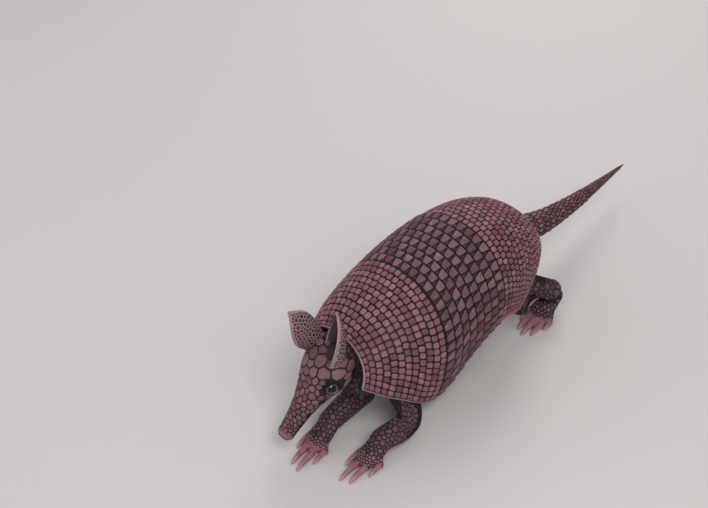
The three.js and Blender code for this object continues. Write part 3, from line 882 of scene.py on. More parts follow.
def carveNose(v, spot, share, groove, flush):
    # the pad's rounded end, the cleft under it and the two nostrils with a low ring round each
    pad = ease((share - noseForm["start"]) / 0.035)
    if pad == 0:
        return
    outward = Vector((spot.x, 0, spot.z)).normalized()
    radius = math.hypot(spot.x, spot.z)
    edge = noseForm["edge"] * ease((share - 0.965) / 0.04) * (radius > 6.5)
    spot += outward * (pad * noseForm["bulge"] - edge)
    spot.y += noseForm["round"] * ease((radius - 3) / 6) ** 2 * ease((share - 0.975) / 0.02)
    cleft = math.exp(-(spot.x / noseForm["cleftWidth"]) ** 2)
    cleft *= ease((share - 0.96) / 0.03) * ease((spot.z + 1) / 4)
    spot.y += noseForm["cleft"] * cleft
    v[flush] = max(v[flush], pad)
    # the cleft is darkened: painted shade
    v[groove] = max(v[groove], 0.35 * cleft)
    for side in (1, -1):
        hole = math.hypot((spot.x - side * noseForm["apart"]) / 0.85, spot.z - noseForm["up"])
        front = ease((share - 0.955) / 0.02)
        pit = ease((noseForm["nostril"] - hole) / 1.2) * front
        ring = math.exp(-((hole - noseForm["nostril"] - 0.4) / 0.7) ** 2) * front
        spot.y += noseForm["depth"] * pit - noseForm["ring"] * ring
        # the nostril pits are darkened: painted shade
        v[groove] = max(v[groove], 0.75 * pit)


def carveHead(v, spot, groove, flush):
    # presses the head's features into a point, which is given and returned in the head's own frame
    share = headShare(spot)
    for eye in eyes.values():
        carveEye(v, spot, eye, groove)
    if share < 1:
        carveMouth(v, spot, groove)
    carveNose(v, spot, share, groove, flush)
    return spot


def waves(distance, length, sharp=3):
    # creases that repeat: 0 between them and 1 in their floor
    return (0.5 + 0.5 * math.cos(2 * math.pi * distance / length)) ** sharp


creases = dict(neck=(0.75, 6.5), knee=(0.3, 5.2), heel=(0.2, 4.2), belly=(0.6, 8.5))  # depth and spacing


def creaseDepth(spot):
    # how deep the skin is creased at a point
    wobble = noise.noise(spot * 0.05) * 3.5

    def crease(where, near, distance):
        deep, apart = creases[where]
        return deep * near * waves(distance, apart)

    head = headFrameBack @ spot
    neck = ease((0.02 - headShare(head)) / 0.08) * ease((-96 - spot.y) / 14)
    depth = crease("neck", neck, head.y + wobble * 1.6)
    for name, limb in limbs.items():
        top, middle, end = (Vector(p) for p in limb["joints"])
        bend = ((top - middle).normalized() + (end - middle).normalized()).normalized()
        away = spot - middle
        reach = 26 if name.startswith("hind") else 19
        near = ease((reach - away.length) / 8) * ease(away.dot(bend) / 10 + 0.4)
        depth = max(depth, crease("knee", near, away.dot((top - end).normalized()) + wobble))
        away = spot - end
        near = ease((15 - away.length) / 6)
        depth = max(depth, crease("heel", near, away.dot((middle - end).normalized()) + wobble))
    belly = ease((66 - spot.z) / 14) * ease((62 - abs(spot.x)) / 14) * ease((120 - abs(spot.y)) / 25)
    return max(depth, crease("belly", belly, spot.y + wobble * 1.5))


def shellCeiling():
    # the face under the shell that no flesh may cross
    bm = bmesh.new()
    bmesh.ops.create_grid(bm, x_segments=70, y_segments=70, size=0.5)
    for v in bm.verts:
        v.co = shellPoint(v.co.y + 0.5, v.co.x * 2, -shell["thickness"] - 1)
    bmesh.ops.recalc_face_normals(bm, faces=bm.faces)
    middle = min(bm.faces, key=lambda f: (f.calc_center_median() - shellPoint(0.5, 0, 0)).length)
    outward = 1 if middle.normal.z > 0 else -1
    return BVHTree.FromBMesh(bm), outward


ceiling, ceilingSide = shellCeiling()
cover = dict(reach=45, free=1, slope=1.1)  # flesh may rise again from a little way outside the shell's rim


def underShell(point):
    # a point of the flesh, pushed under the shell where it stood through it
    spot, normal, index, distance = ceiling.find_nearest(point, cover["reach"] * millimetre)
    if spot is None:
        return point
    normal = normal * ceilingSide
    away = point - spot
    out = away.dot(normal)
    if out <= 0:
        return point
    past = (away - normal * out).length
    allowed = max(past - cover["free"] * millimetre, 0) * cover["slope"]
    return point - normal * max(out - allowed, 0)


pinkSkin = dict(top=22, reach=60, ahead=25, wide=1.7)


def toeFlush(spot, foot):
    # bare pink skin on the toes, from about their knuckles on
    middle = foot["heel"] + foot["ahead"] * pinkSkin["ahead"]
    if spot.z > pinkSkin["top"] or (spot - middle).length > pinkSkin["reach"]:
        return 0
    best = 0
    for toe in foot["toes"]:
        start = toe["root"].lerp(toe["tip"], foot["bare"])
        line = toe["tip"] - start
        along = (spot - start).dot(line) / line.length_squared
        off = (spot - start - line * clamp(along)).length
        if off < toe["radius"] * pinkSkin["wide"]:
            best = max(best, ease((along + 0.2) / 0.5))
    return best


earForm = dict(length=57, width=37, along=0.12, apart=19, up=10, thickness=1.7, edge=0.9, rootRoll=130,
               tipRoll=48, hollow=(2, 24), root=0.29, sit=0.6)
earPoses = {1: dict(splay=-10, back=52, turn=-12), -1: dict(splay=8, back=17, turn=62)}


def earStand(side):
    # how an ear stands in the head's frame
    pose = earPoses[side]
    turn = (Matrix.Rotation(math.radians(side * pose["splay"]), 4, "Y")
            @ Matrix.Rotation(math.radians(-pose["back"]), 4, "X")
            @ Matrix.Rotation(math.radians(side * pose["turn"]), 4, "Z"))
    return Matrix.Translation((side * earForm["apart"], -earForm["along"] * headForm["length"],
                               earForm["up"])) @ turn


earStandBack = {side: earStand(side).inverted() for side in (1, -1)}


def byEar(spot, margin=1.0):
    # whether a point of the head lies in the hollow of an ear or on its root
    for side in (1, -1):
        inEar = earStandBack[side] @ spot
        low, high = earForm["hollow"]
        cup = earForm["width"] * earForm["root"]
        if low < inEar.z < high and math.hypot(inEar.x, inEar.y + cup * earForm["sit"]) < cup + margin:
            return True
    return False


def detailedSkin():
    # the forms melted into one skin, then creased, with the head's features pressed into it
    bm = bmesh.new()
    bm.from_mesh(applied(meshOf(fleshForms(), "forms"), "REMESH", mode="VOXEL",
                         voxel_size=skinForm["voxel"] * millimetre))
    tint, groove, rim, flush = layers(bm)
    for v in bm.verts:
        v.co = underShell(v.co)
    for turn in range(skinForm["smooth"]):
        evened(bm, bm.verts)

    def isFine(v):
        # where the skin needs smaller faces: eyes, lips and nose
        spot = headSpot(v.co)
        share = headShare(spot)
        if not carved[0] < share < carved[1]:
            return False
        gap, near = mouthGap(spot)
        openings = [eyeSpot(spot, eye) for eye in eyes.values()]
        byEye = any(height > 0 and out < lidForm["reach"] for height, out in openings)
        return share > 0.91 or byEye or (near > 0 and gap < 3.6)

    for turn in range(2):
        fine = {v for v in bm.verts if isFine(v) and (turn == 0 or min(
            eyeSpot(headSpot(v.co), eye)[1] for eye in eyes.values()) < 1.5)}
        bmesh.ops.subdivide_edges(bm, edges=[e for e in bm.edges
                                             if e.verts[0] in fine and e.verts[1] in fine],
                                  cuts=1, smooth=0.6, use_grid_fill=True)
        bmesh.ops.triangulate(bm, faces=[f for f in bm.faces if len(f.verts) > 4])
    bm.normal_update()
    feet = [footSpots(name) for name in limbs]
    for v in bm.verts:
        spot = measured(v.co)
        depth = creaseDepth(spot)
        # the crease floors are darkened by their depth: painted shade
        v[groove] = clamp(depth / 0.8) * 0.8
        v[tint] = (ease(-v.normal.z * 1.4) * ease((125 - abs(spot.y)) / 20) * ease((spot.z - 12) / 12)
                   * ease((60 - abs(spot.x)) / 16))
        spot -= v.normal * depth
        head = headFrameBack @ spot
        if byEar(head, -0.5) and head.z > 4:
            v[tint], v[groove] = 0.35, 0.0
        if carved[0] < headShare(head) < carved[1]:
            spot = headFrame @ carveHead(v, head, groove, flush)
        elif spot.z < pinkSkin["top"]:
            v[flush] = max(toeFlush(spot, foot) for foot in feet)
        v.co = place(*spot)
        v.co.z = max(v.co.z, skinForm["floor"] * millimetre)
    return bm


bm = detailedSkin()
print("skin melted and creased:", len(bm.verts), "points")
skinTree = BVHTree.FromBMesh(bm)
skinCopy = bm.copy()
finishPiece("skin", bm, materials["skin"], "skin", "trunk", "neck", "head", "jaw",
            *[n.replace("foot", "leg") for n in limbs], *limbs)


def dualNodes():
    # turns a net of triangles into the cells round its points
    group = bpy.data.node_groups.new("cells", "GeometryNodeTree")
    group.interface.new_socket("Geometry", in_out="INPUT", socket_type="NodeSocketGeometry")
    group.interface.new_socket("Geometry", in_out="OUTPUT", socket_type="NodeSocketGeometry")
    start, turn, end = (group.nodes.new(kind) for kind in
                        ("NodeGroupInput", "GeometryNodeDualMesh", "NodeGroupOutput"))
    group.links.new(start.outputs[0], turn.inputs["Mesh"])
    group.links.new(turn.outputs[0], end.inputs[0])
    return group


netForm = dict(longest=1.36, shortest=0.72, spare=1.6)  # edges in wanted lengths, and faces to start from


def evenTriangles(bm, sizeAt, tree, rounds):
    # evens a net of triangles out until its edges have the wanted length
    for turn in range(rounds):
        long = [e for e in bm.edges
                if e.calc_length() > netForm["longest"] * sizeAt((e.verts[0].co + e.verts[1].co) / 2)]
        if long:
            bmesh.ops.subdivide_edges(bm, edges=long, cuts=1)
            bmesh.ops.triangulate(bm, faces=[f for f in bm.faces if len(f.verts) > 3])
        taken, short = set(), []
        for e in sorted(bm.edges, key=lambda e: e.calc_length()):
            a, b = e.verts
            if e.calc_length() > netForm["shortest"] * sizeAt((a.co + b.co) / 2):
                continue
            if a in taken or b in taken or a.is_boundary != b.is_boundary:
                continue
            for v in (a, b):
                taken.update(near.other_vert(v) for near in v.link_edges)
            short.append(e)
        if short:
            bmesh.ops.collapse(bm, edges=short)
        bmesh.ops.beautify_fill(bm, faces=bm.faces, edges=[e for e in bm.edges if not e.is_boundary])
        evened(bm, [v for v in bm.verts if not v.is_boundary])
        for v in bm.verts:
            v.co = tree.find_nearest(v.co)[0]


def cellNet(base, keep, sizeAt, tree, rounds=7, jitter=0.17, seed=1):
    # the kept part of a shape as irregular cells of the wanted size
    bm = base.copy()
    bmesh.ops.delete(bm, geom=[f for f in bm.faces if not keep(f.calc_center_median())], context="FACES")
    bmesh.ops.triangulate(bm, faces=bm.faces)
    wanted = sum(2.3 * f.calc_area() / sizeAt(f.calc_center_median()) ** 2 for f in bm.faces)
    ratio = min(netForm["spare"] * wanted / len(bm.faces), 1)
    net = applied(meshOf(bm, "net"), "DECIMATE", ratio=ratio)
    bm = bmesh.new()
    bm.from_mesh(net)
    bmesh.ops.triangulate(bm, faces=bm.faces)
    evenTriangles(bm, sizeAt, tree, rounds)
    rng = random.Random(seed)
    for v in bm.verts:
        size = sizeAt(v.co) * jitter
        shift = Vector((rng.gauss(0, size), rng.gauss(0, size), rng.gauss(0, size)))
        v.co = tree.find_nearest(v.co + shift)[0]
    return unwrapped(applied(meshOf(bm, "net"), "NODES", node_group=cells))


def unwrapped(mesh):
    # the cells laid out flat on the bake map, as the skin under them lies
    holder = addObject("unwrapped", mesh)
    mesh.uv_layers.new(name="OFBake")
    bpy.context.view_layer.objects.active = holder
    holder.select_set(True)
    bpy.ops.object.mode_set(mode="EDIT")
    bpy.ops.mesh.select_all(action="SELECT")
    bpy.ops.uv.smart_project(angle_limit=math.radians(66), island_margin=0.01)
    bpy.ops.object.mode_set(mode="OBJECT")
    bpy.data.objects.remove(holder)
    return mesh


cells = dualNodes()
# a torn cell's reach is a share of its size and a length; a tint follows chance so far, from a base
plateForm = dict(sink=0.3, shoulder=0.82, lift=(0.8, 1.1), floor=0.2, torn=(0.2, 1.2), fold=0.25,
                 dark=(0.4, 0), pale=(0.65, 0.35))


def connected(start):
    # every point that hangs together with the first one
    seen, edge = {start}, [start]
    while edge:
        v = edge.pop()
        for e in v.link_edges:
            other = e.other_vert(v)
            if other not in seen:
                seen.add(other)
                edge.append(other)
    return seen


def isTorn(f, tree):
    # whether a cell lies across a fold of the skin
    facing = tree.find_nearest(f.calc_center_median())[1]
    share, length = plateForm["torn"]
    reach = share * math.sqrt(f.calc_area()) + length * millimetre
    for v in f.verts:
        spot, normal, index, distance = tree.find_nearest(v.co)
        if distance > reach or normal.dot(facing) < plateForm["fold"]:
            return True
    return False


def scalePlates(name, net, tree, material, slot, keep, look, seed, *nodes):
    # every cell as a plate of its own; gap and rise are in millimetres, slope and crown shares of its size
    bm = bmesh.new()
    tint, groove, rim, flush = layers(bm)
    bm.from_mesh(net)
    unwanted = [f for f in bm.faces if len(f.verts) < 4 or not keep(f.calc_center_median())
                or any(v.is_boundary for v in f.verts) or isTorn(f, tree)]
    bmesh.ops.delete(bm, geom=unwanted, context="FACES")
    bmesh.ops.split_edges(bm, edges=bm.edges)
    tops = bm.faces[:]
    rng = random.Random(seed)
    for f in tops:
        middle = f.calc_center_median()
        size = math.sqrt(f.calc_area())
        for v in f.verts:
            v.co = middle.lerp(v.co, 1 - look["gap"] * millimetre / size)
            v[groove] = 1.0
    for share, dark in ((look["slope"], 0.15), (look["crown"], 0.0)):
        for f in tops:
            thickness = share * math.sqrt(f.calc_area())
            bmesh.ops.inset_individual(bm, faces=[f], thickness=thickness, use_even_offset=True,
                                       use_interpolate=True)
            for v in f.verts:
                v[groove] = dark
    bake = bakeMap(bm)
    for crest in bmesh.ops.poke(bm, faces=tops)["verts"]:
        around = [loop[bake].uv for f in crest.link_faces for loop in f.loops if loop.vert != crest]
        middle = sum(around, Vector((0, 0))) / len(around)
        for loop in crest.link_loops:
            loop[bake].uv = middle
        crest[groove] = 0.0
        shade, lift = rng.random(), rng.uniform(*plateForm["lift"])
        # a look's pale share moves each tint between a dark and a pale range; on the neck and upper legs the
        # dark end is painted shade
        if "pale" in look:
            dark, pale = (follow * shade + base for follow, base in (plateForm["dark"], plateForm["pale"]))
            shade = lerp(dark, pale, look["pale"](crest.co))
        for v in connected(crest):
            v[tint] = shade
            spot, normal, index, distance = tree.find_nearest(v.co)
            height = look["rise"] * lift * (plateForm["shoulder"] if v[groove] > 0.1 else 1.0)
            if v[groove] > 0.9:
                height = -plateForm["sink"]
            v.co = spot + normal * height * millimetre
            v.co.z = max(v.co.z, plateForm["floor"] * millimetre)
            v[flush] = look["flush"](spot) if "flush" in look else 0.0
    feet = bmesh.ops.holes_fill(bm, edges=[e for e in bm.edges if e.is_boundary], sides=0)["faces"]
    for f in feet:
        for loop in f.loops:
            loop[bake].uv = next(l for l in loop.vert.link_loops if l.face != f)[bake].uv
    return newPiece(name, bm, material, slot, *nodes)


crownForm = dict(start=0.06, end=0.73, wide=66, narrow=42, gap=0.85, slope=0.05, crown=0.09, rise=0.95)
faceForm = dict(start=0.04, end=0.94, reach=34, under=-15, byEye=1.5, byMouth=1.6, large=12.4, small=5.4,
                gap=0.8, slope=0.05, crown=0.09, rise=0.6)


def isCrown(spot):
    share = headShare(spot)
    angle = math.degrees(abs(math.atan2(spot.x, spot.z)))
    widest = lerp(crownForm["wide"], crownForm["narrow"], (share - 0.1) / 0.62)
    return crownForm["start"] < share < crownForm["end"] and angle < widest and not byEar(spot)


def isFace(spot):
    share = headShare(spot)
    if not faceForm["start"] < share < faceForm["end"] or isCrown(spot) or byEar(spot):
        return False
    if math.hypot(spot.x, spot.z) > faceForm["reach"] or spot.z < faceForm["under"] + 8 * share:
        return False
    for eye in eyes.values():
        height, out = eyeSpot(spot, eye)
        if height > 0 and out < faceForm["byEye"]:
            return False
    gap, near = mouthGap(spot)
    return near < 0.3 or gap > faceForm["byMouth"]


def onHead(spot):
    return -0.16 < headShare(spot) < 0.99 and math.hypot(spot.x, spot.z) < 46


def faceSize(spot):
    # plates grow smaller towards the nose and at the very back
    size = lerp(faceForm["large"], faceForm["small"], ease(headShare(spot) / 0.85))
    return size * lerp(0.5, 1, ease((headShare(spot) + 0.01) / 0.13)) * millimetre


headNet = cellNet(skinCopy, lambda p: onHead(headSpot(p)), lambda p: faceSize(headSpot(p)), skinTree,
                  jitter=0.2, seed=4)
scalePlates("crown_plates", headNet, skinTree, materials["crown"], "head_plate",
            lambda p: isCrown(headSpot(p)), crownForm, 31, "head_shield")
scalePlates("face_scales", headNet, skinTree, materials["crown"], "skin",
            lambda p: isFace(headSpot(p)), faceForm, 32)
print("head scales made")


def isUncovered(point, reach):
    # whether skin lies clear of the shell, or deep enough inside it to be seen from below
    spot, normal, index, distance = ceiling.find_nearest(point)
    away = point - spot
    out = away.dot(normal) * ceilingSide
    past = (away - normal * out * ceilingSide).length
    return past > reach * millimetre or out < -5 * millimetre


# the neck's scales keep to the dark end of their tints, as painted shade under the head
neckForm = dict(size=5.6, front=-152, rear=-88, low=44, gap=1.0, slope=0.07, crown=0.1, rise=0.45,
                pale=lambda p: 0.15)
legForm = dict(large=6.4, small=4.8, toes=3.2, reach=8, floor=2.4, gap=0.9, slope=0.06, crown=0.1, rise=0.55)


def onNeck(point):
    spot = measured(point)
    head = headFrameBack @ spot
    isHead = -head.y > 4.8 and math.hypot(head.x, head.z) < 31 and head.z > -16
    return neckForm["front"] < spot.y < neckForm["rear"] and spot.z > neckForm["low"] and not isHead


neckNet = cellNet(skinCopy, lambda p: onNeck(p) or -0.3 < headShare(headSpot(p)) < 0.16,
                  lambda p: neckForm["size"] * millimetre, skinTree, seed=38)
scalePlates("neck_scales", neckNet, skinTree, materials["scale"], "skin",
            lambda p: onNeck(p) and isUncovered(p, 1.2) and not byEar(headSpot(p)), neckForm, 38)


def limbScales(name, seed):
    # small irregular scales down a leg and over the foot, smaller on the toes
    limb, foot = limbs[name], footSpots(name)
    top, middle, end = (Vector(p) for p in limb["joints"])
    radii = limbRadii[name[:4]]
    bars = [(top, middle, radii[0], radii[1]), (middle, end, radii[2], radii[3]),
            (foot["heel"], foot["ball"], foot["pad"]["back"], foot["pad"]["front"])]
    bars += [(toe["root"], toe["tip"], toe["radius"], toe["radius"]) for toe in foot["toes"]]

    def offBar(spot):
        # how far outside its nearest bar a point lies
        best = 99
        for start, stop, startRadius, stopRadius in bars:
            line = stop - start
            share = clamp((spot - start).dot(line) / line.length_squared)
            best = min(best, (spot - start - line * share).length - lerp(startRadius, stopRadius, share))
        return best

    def keep(point):
        spot = measured(point)
        return 0.5 < spot.z < 96 and offBar(spot) < legForm["reach"] + 4

    def shown(point):
        spot = measured(point)
        return spot.z > legForm["floor"] and offBar(spot) < legForm["reach"] and isUncovered(point, 2)

    def pink(point):
        return toeFlush(measured(point), foot)

    def size(point):
        above = lerp(legForm["small"], legForm["large"], clamp((measured(point).z - 12) / 20))
        return lerp(above, legForm["toes"], pink(point)) * millimetre

    net = cellNet(skinCopy, keep, size, skinTree, seed=seed)
    # the scales grow paler down towards the foot; the darker upper leg is painted shade under the shell
    look = dict(legForm, pale=lambda p: ease((60 - measured(p).z) / 36), flush=pink)
    scalePlates(f"{name.replace('foot', 'leg')}_scales", net, skinTree, materials["scale"], "skin", shown,
                look, seed)


for number, name in enumerate(limbs):
    limbScales(name, 40 + number)
print("leg scales made")

# sparse hairs on the belly, flanks and thighs
hairForm = dict(count=1100, length=(6, 12), radius=0.13, lift=0.5, spread=0.25, back=0.75, down=-0.6,
                droop=0.3, sink=0.4, front=-95, rear=128, low=30, high=85, patch=0.0015)


def hairBend(root, normal, length, rng):
    # a strand that leaves the skin at a low angle, lies back and down, and droops
    lie = Vector((rng.uniform(-hairForm["spread"], hairForm["spread"]), hairForm["back"], hairForm["down"]))
    lie = (lie - normal * lie.dot(normal)).normalized()
    first = (normal * hairForm["lift"] + lie).normalized() * length
    droop = (lie - normal * 0.4) * length * hairForm["droop"]
    right = first.cross(normal).normalized() * hairForm["radius"]
    up = right.cross(first).normalized() * hairForm["radius"]

    def bend(co):
        along = co.z + 0.5
        spot = place(*(root + first * along + droop * along ** 2 + right * co.x + up * co.y))
        spot.z = max(spot.z, 0.3 * millimetre)
        return spot

    return bend


def isHairy(point, normal):
    spot = measured(point)
    belly = (hairForm["front"] < spot.y < hairForm["rear"] and hairForm["low"] < spot.z < hairForm["high"]
             and normal.z < 0.25)
    return belly and isUncovered(point, 2) and headShare(headSpot(point)) < -0.2


def hairPiece():
    flat = bpy.data.meshes.new("flat")
    skinCopy.to_mesh(flat)
    layout = bmesh.new()
    layout.from_mesh(unwrapped(applied(flat, "DECIMATE", ratio=0.1)))
    layout.faces.ensure_lookup_table()
    bake, layoutTree = bakeMap(layout), BVHTree.FromBMesh(layout)
    form = bmesh.new()
    layers(form)
    tube(form, 3, 3, tip=0.2)
    strand = meshOf(form, "strand")
    rng = random.Random(90)
    roots = [f for f in skinCopy.faces if isHairy(f.calc_center_median(), f.normal)]
    hairs = []
    for f in rng.choices(roots, weights=[f.calc_area() for f in roots], k=hairForm["count"]):
        near = layout.faces[layoutTree.find_nearest(f.calc_center_median())[2]]
        patch = sum((loop[bake].uv for loop in near.loops), Vector((0, 0))) / len(near.loops)
        root = measured(f.calc_center_median()) - f.normal * hairForm["sink"]
        bend = hairBend(root, f.normal, rng.uniform(*hairForm["length"]), rng)
        hairs.append((bend, rng.random(), (*patch, hairForm["patch"], hairForm["patch"])))
    bm = bmesh.new()
    strew(bm, strand, hairs)
    finishPiece("belly_hairs", bm, materials["hair"], "skin")


hairPiece()
print("hairs made")


pebbleForm = dict(small=2.3, large=4.4, gap=0.7, slope=0.07, crown=0.1, rise=0.35)


def earPoint(across, along, lift):
    # a leaf-shaped sheet rolled about its length, nearly shut at the root
    width = earForm["width"] * (0.58 + 1.75 * along - 2.2 * along ** 2) * math.sqrt(1.02 - along ** 5)
    roll = math.radians(lerp(earForm["rootRoll"], earForm["tipRoll"], math.sqrt(along)))
    cup = width / (2 * math.sin(min(roll, math.pi / 2)))
    radius = cup + lift
    return Vector((radius * math.sin(across * roll), radius * math.cos(across * roll) - cup * earForm["sit"],
                   along * earForm["length"]))


def earPiece(name, side, seed):
    bm = bmesh.new()
    tint, groove, rim, flush = layers(bm)
    bmesh.ops.create_grid(bm, x_segments=30, y_segments=40, size=0.5)
    made = bmesh.ops.extrude_face_region(bm, geom=bm.faces[:])
    inner = {v for v in made["geom"] if isinstance(v, bmesh.types.BMVert)}
    standing = headFrame @ earStand(side)
    for v in bm.verts:
        across, along = v.co.x * 2, clamp(v.co.y + 0.5, 0.001, 1)
        edge = max(abs(across), clamp(along * 1.08 - 0.08) ** 6)
        thickness = lerp(earForm["thickness"], earForm["edge"], ease((edge - 0.6) / 0.4))
        thickness += 0.5 * ease((edge - 0.94) / 0.06)
        lift = thickness / 2 * (-1 if v in inner else 1)
        ripple = noise.noise(Vector((across * 3, along * 5, side))) * 0.5 * (1 - edge)
        v[rim] = ease((edge - 0.93) / 0.06)
        # the ear's inside darkens towards its rolled root: painted shade in the hollow
        v[groove] = 0.5 * (1 - along) if v in inner else 0.0
        v[flush] = 0.0 if v in inner else 1.0 - v[rim]
        v.co = place(*(standing @ earPoint(across, along, lift + ripple)))
    bmesh.ops.recalc_face_normals(bm, faces=bm.faces)
    outside = bm.copy()
    inner = {v.index for v in inner}
    bmesh.ops.delete(outside, geom=[v for v in outside.verts if v.index in inner], context="VERTS")
    finishPiece(f"ear_leather_{name}", bm, materials["ear"], "ear", f"ear_{name}")
    tree = BVHTree.FromBMesh(outside)
    border = [v.co.copy() for v in outside.verts if v.is_boundary]
    edge = KDTree(len(border))
    for i, spot in enumerate(border):
        edge.insert(spot, i)
    edge.balance()

    def cellSize(point):
        inward = ease((edge.find(point)[2] / millimetre - 1) / 6)
        return lerp(pebbleForm["small"], pebbleForm["large"], inward) * millimetre

    net = cellNet(outside, lambda p: True, cellSize, tree, seed=seed)
    outside.free()
    scalePlates(f"ear_pebbles_{name}", net, tree, materials["pebble"], "ear", lambda p: True, pebbleForm,
                seed)


earPiece("left", 1, 61)
earPiece("right", -1, 62)
print("ears made")

eyeFinish = plainFinish("eyeGloss", paint(8, 5, 6), 0.04)
eyeFinish.node_tree.nodes["Principled BSDF"].inputs["Specular IOR Level"].default_value = 0.35
lidRoll = dict(inside=0.96, thick=0.85, heavier=0.35, up=0.75, tilt=0.3, segments=12, steps=56)


def eyePieces(name, eye):
    bm = bmesh.new()
    bmesh.ops.create_uvsphere(bm, u_segments=40, v_segments=24, radius=eyeForm["radius"] - 0.05)
    for v in bm.verts:
        v.co = place(*(headFrame @ (v.co + eye["centre"])))
    newPiece(f"eyeball_{name}", bm, eyeFinish, "eye", f"eye_{name}")

    # the lids' edge: a thin roll round the opening, heavier above
    bm = bmesh.new()
    tint, groove, rim, flush = layers(bm)
    ring = 6
    bmesh.ops.create_circle(bm, segments=lidRoll["segments"], radius=1)
    for v in bm.verts:
        v.co = Vector((v.co.x + ring, 0, v.co.y))
    bmesh.ops.spin(bm, geom=bm.edges[:] + bm.verts[:], cent=(0, 0, 0), axis=(0, 0, 1), angle=2 * math.pi,
                   steps=lidRoll["steps"], use_merge=True)
    for v in bm.verts:
        turn = math.atan2(v.co.y, v.co.x)
        tubeOut, tubeUp = math.hypot(v.co.x, v.co.y) - ring, v.co.z
        thick = lidForm["thick"] * (lidRoll["thick"] + lidRoll["heavier"] * clamp(math.sin(turn)))
        wide, tall = lidForm["wide"] * lidRoll["inside"], lidForm["tall"] * lidRoll["inside"]
        out = Vector((math.cos(turn) * (wide + tubeOut * thick), math.sin(turn) * (tall + tubeOut * thick)))
        middle = math.hypot(math.cos(turn) * wide, math.sin(turn) * tall)
        ball = math.sqrt(max(eyeForm["radius"] ** 2 - middle ** 2, 0))
        height = ball + thick * (lidRoll["up"] + tubeUp) - tubeOut * lidRoll["tilt"]
        v[rim] = ease((0.3 - tubeOut) / 0.6) * ease((tubeUp + 0.3) / 0.6)
        v[groove] = 0.6
        v.co = place(*(headFrame @ (eye["centre"] + eye["forward"] * out.x + eye["above"] * out.y
                                    + eye["outward"] * height)))
    newPiece(f"eyelids_{name}", bm, materials["skin"], "skin")


eyePieces("left", eyes[1])
eyePieces("right", eyes[-1])
print("eyes made")

clawForm = dict(root=0.9, tip=0.42, flat=0.85, above=0.9, below=0.65, bend=0.62, end=0.6)


def clawPiece(name, number, toe):
    # a long blunt claw that leaves the toe's end and bends down to the floor
    tip, ahead, aside, radius = toe["tip"], toe["ahead"], toe["aside"], toe["radius"]
    start = tip + ahead * radius * 0.2
    middle = tip + ahead * toe["claw"] * clawForm["bend"]
    middle.z = tip.z + radius * 0.35
    end = tip + ahead * toe["claw"]
    end.z = clawForm["end"]

    def bend(angle, along):
        at = start * (1 - along) ** 2 + middle * 2 * along * (1 - along) + end * along ** 2
        heading = ((middle - start) * (1 - along) + (end - middle) * along).normalized()
        up = aside.cross(heading)
        up *= 1 if up.z > 0 else -1
        size = radius * lerp(clawForm["root"], clawForm["tip"], along ** 1.3)
        size *= math.sqrt(max(1 - along ** 8, 0.03))
        rise = math.cos(angle)
        rise *= clawForm["above" if rise > 0 else "below"]
        return at + aside * math.sin(angle) * size * clawForm["flat"] + up * rise * size

    bm = bmesh.new()
    tint, groove, rim, flush = layers(bm)
    drum(bm, 16, 14, bend)
    for v in bm.verts:
        away = clamp((v.co - start).length / toe["claw"])
        v[rim] = 0.45 * ease((away - 0.55) / 0.45)
        v[groove] = 0.45 * ease((0.2 - away) / 0.15)
        v[tint] = 0.4
        v.co = place(*v.co)
        v.co.z = max(v.co.z, 0.1 * millimetre)
    newPiece(f"{name}_horn_{number}", bm, materials["claw"], "claw", f"claw_{name}_{number}")


for name in limbs:
    for number, toe in enumerate(footSpots(name)["toes"], 1):
        clawPiece(name, number, toe)
print("claws made")

bm = bmesh.new()
bmesh.ops.create_grid(bm, x_segments=1, y_segments=1, size=6)
floor = addObject("floor", meshOf(bm, "floor"))
floor.data.materials.append(plainFinish("paleFloor", (0.72, 0.7, 0.69, 1), 0.85))

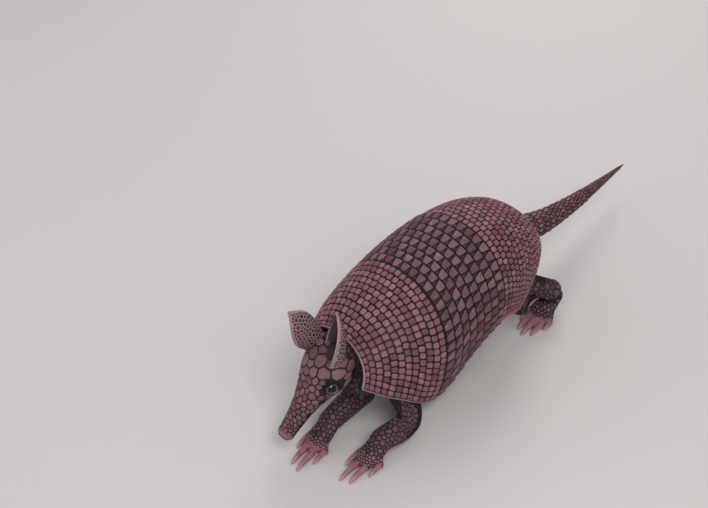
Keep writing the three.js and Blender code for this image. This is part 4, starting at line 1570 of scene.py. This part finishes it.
view = dict(spot=(586, -695, 912), azimuth=45.5, elevation=40.2, lens=55.93)
cameraData = bpy.data.cameras.new("camera")
cameraData.lens = view["lens"]
cameraData.sensor_width = 36
camera = addObject("camera", cameraData)
camera.location = place(*view["spot"])
azimuth, elevation = math.radians(view["azimuth"]), math.radians(view["elevation"])
gaze = Vector((-math.sin(azimuth) * math.cos(elevation), math.cos(azimuth) * math.cos(elevation),
               -math.sin(elevation)))
camera.rotation_euler = gaze.to_track_quat("-Z", "Y").to_euler()
bpy.context.scene.camera = camera

# the glint lamp hangs where the left eye mirrors it towards the camera, and it lights gloss alone
leftEye = place(*(headFrame @ eyes[1]["centre"]))
towards = (camera.location - leftEye).normalized()
facing = ((headFrame.to_3x3() @ eyes[1]["outward"]).normalized() + towards * 3).normalized()
glintSpot = leftEye + (facing * 2 * facing.dot(towards) - towards) * 1.4
lamps = {  # where each lamp hangs, its width, its power and how warm it is
    "keyLamp": dict(spot=(0.9, -0.5, 1.5), size=0.9, power=11.6, colour=(1, 0.97, 0.94)),
    "backLamp": dict(spot=(-0.8, 1.2, 1.3), size=0.8, power=11, colour=(1, 0.93, 0.93)),
    "fillLamp": dict(spot=(-1.0, -1.2, 0.9), size=1.4, power=6.5, colour=(0.95, 0.96, 1)),
    "glintLamp": dict(spot=glintSpot, size=0.46, power=15, colour=(1, 1, 1), glossOnly=True),
}
for name, lamp in lamps.items():
    light = bpy.data.lights.new(name, "AREA")
    light.size, light.energy, light.color = lamp["size"], lamp["power"], lamp["colour"]
    holder = addObject(name, light)
    holder.location = lamp["spot"]
    aim = Vector((0, 0, 0.08)) - holder.location
    holder.rotation_euler = aim.to_track_quat("-Z", "Y").to_euler()
    holder.visible_diffuse = not lamp.get("glossOnly")

world = bpy.data.worlds.new("studio")
world.use_nodes = True
world.node_tree.nodes["Background"].inputs["Color"].default_value = (0.93, 0.92, 0.95, 1)
world.node_tree.nodes["Background"].inputs["Strength"].default_value = 0.36
bpy.context.scene.world = world
bpy.context.scene.view_settings.view_transform = "Standard"
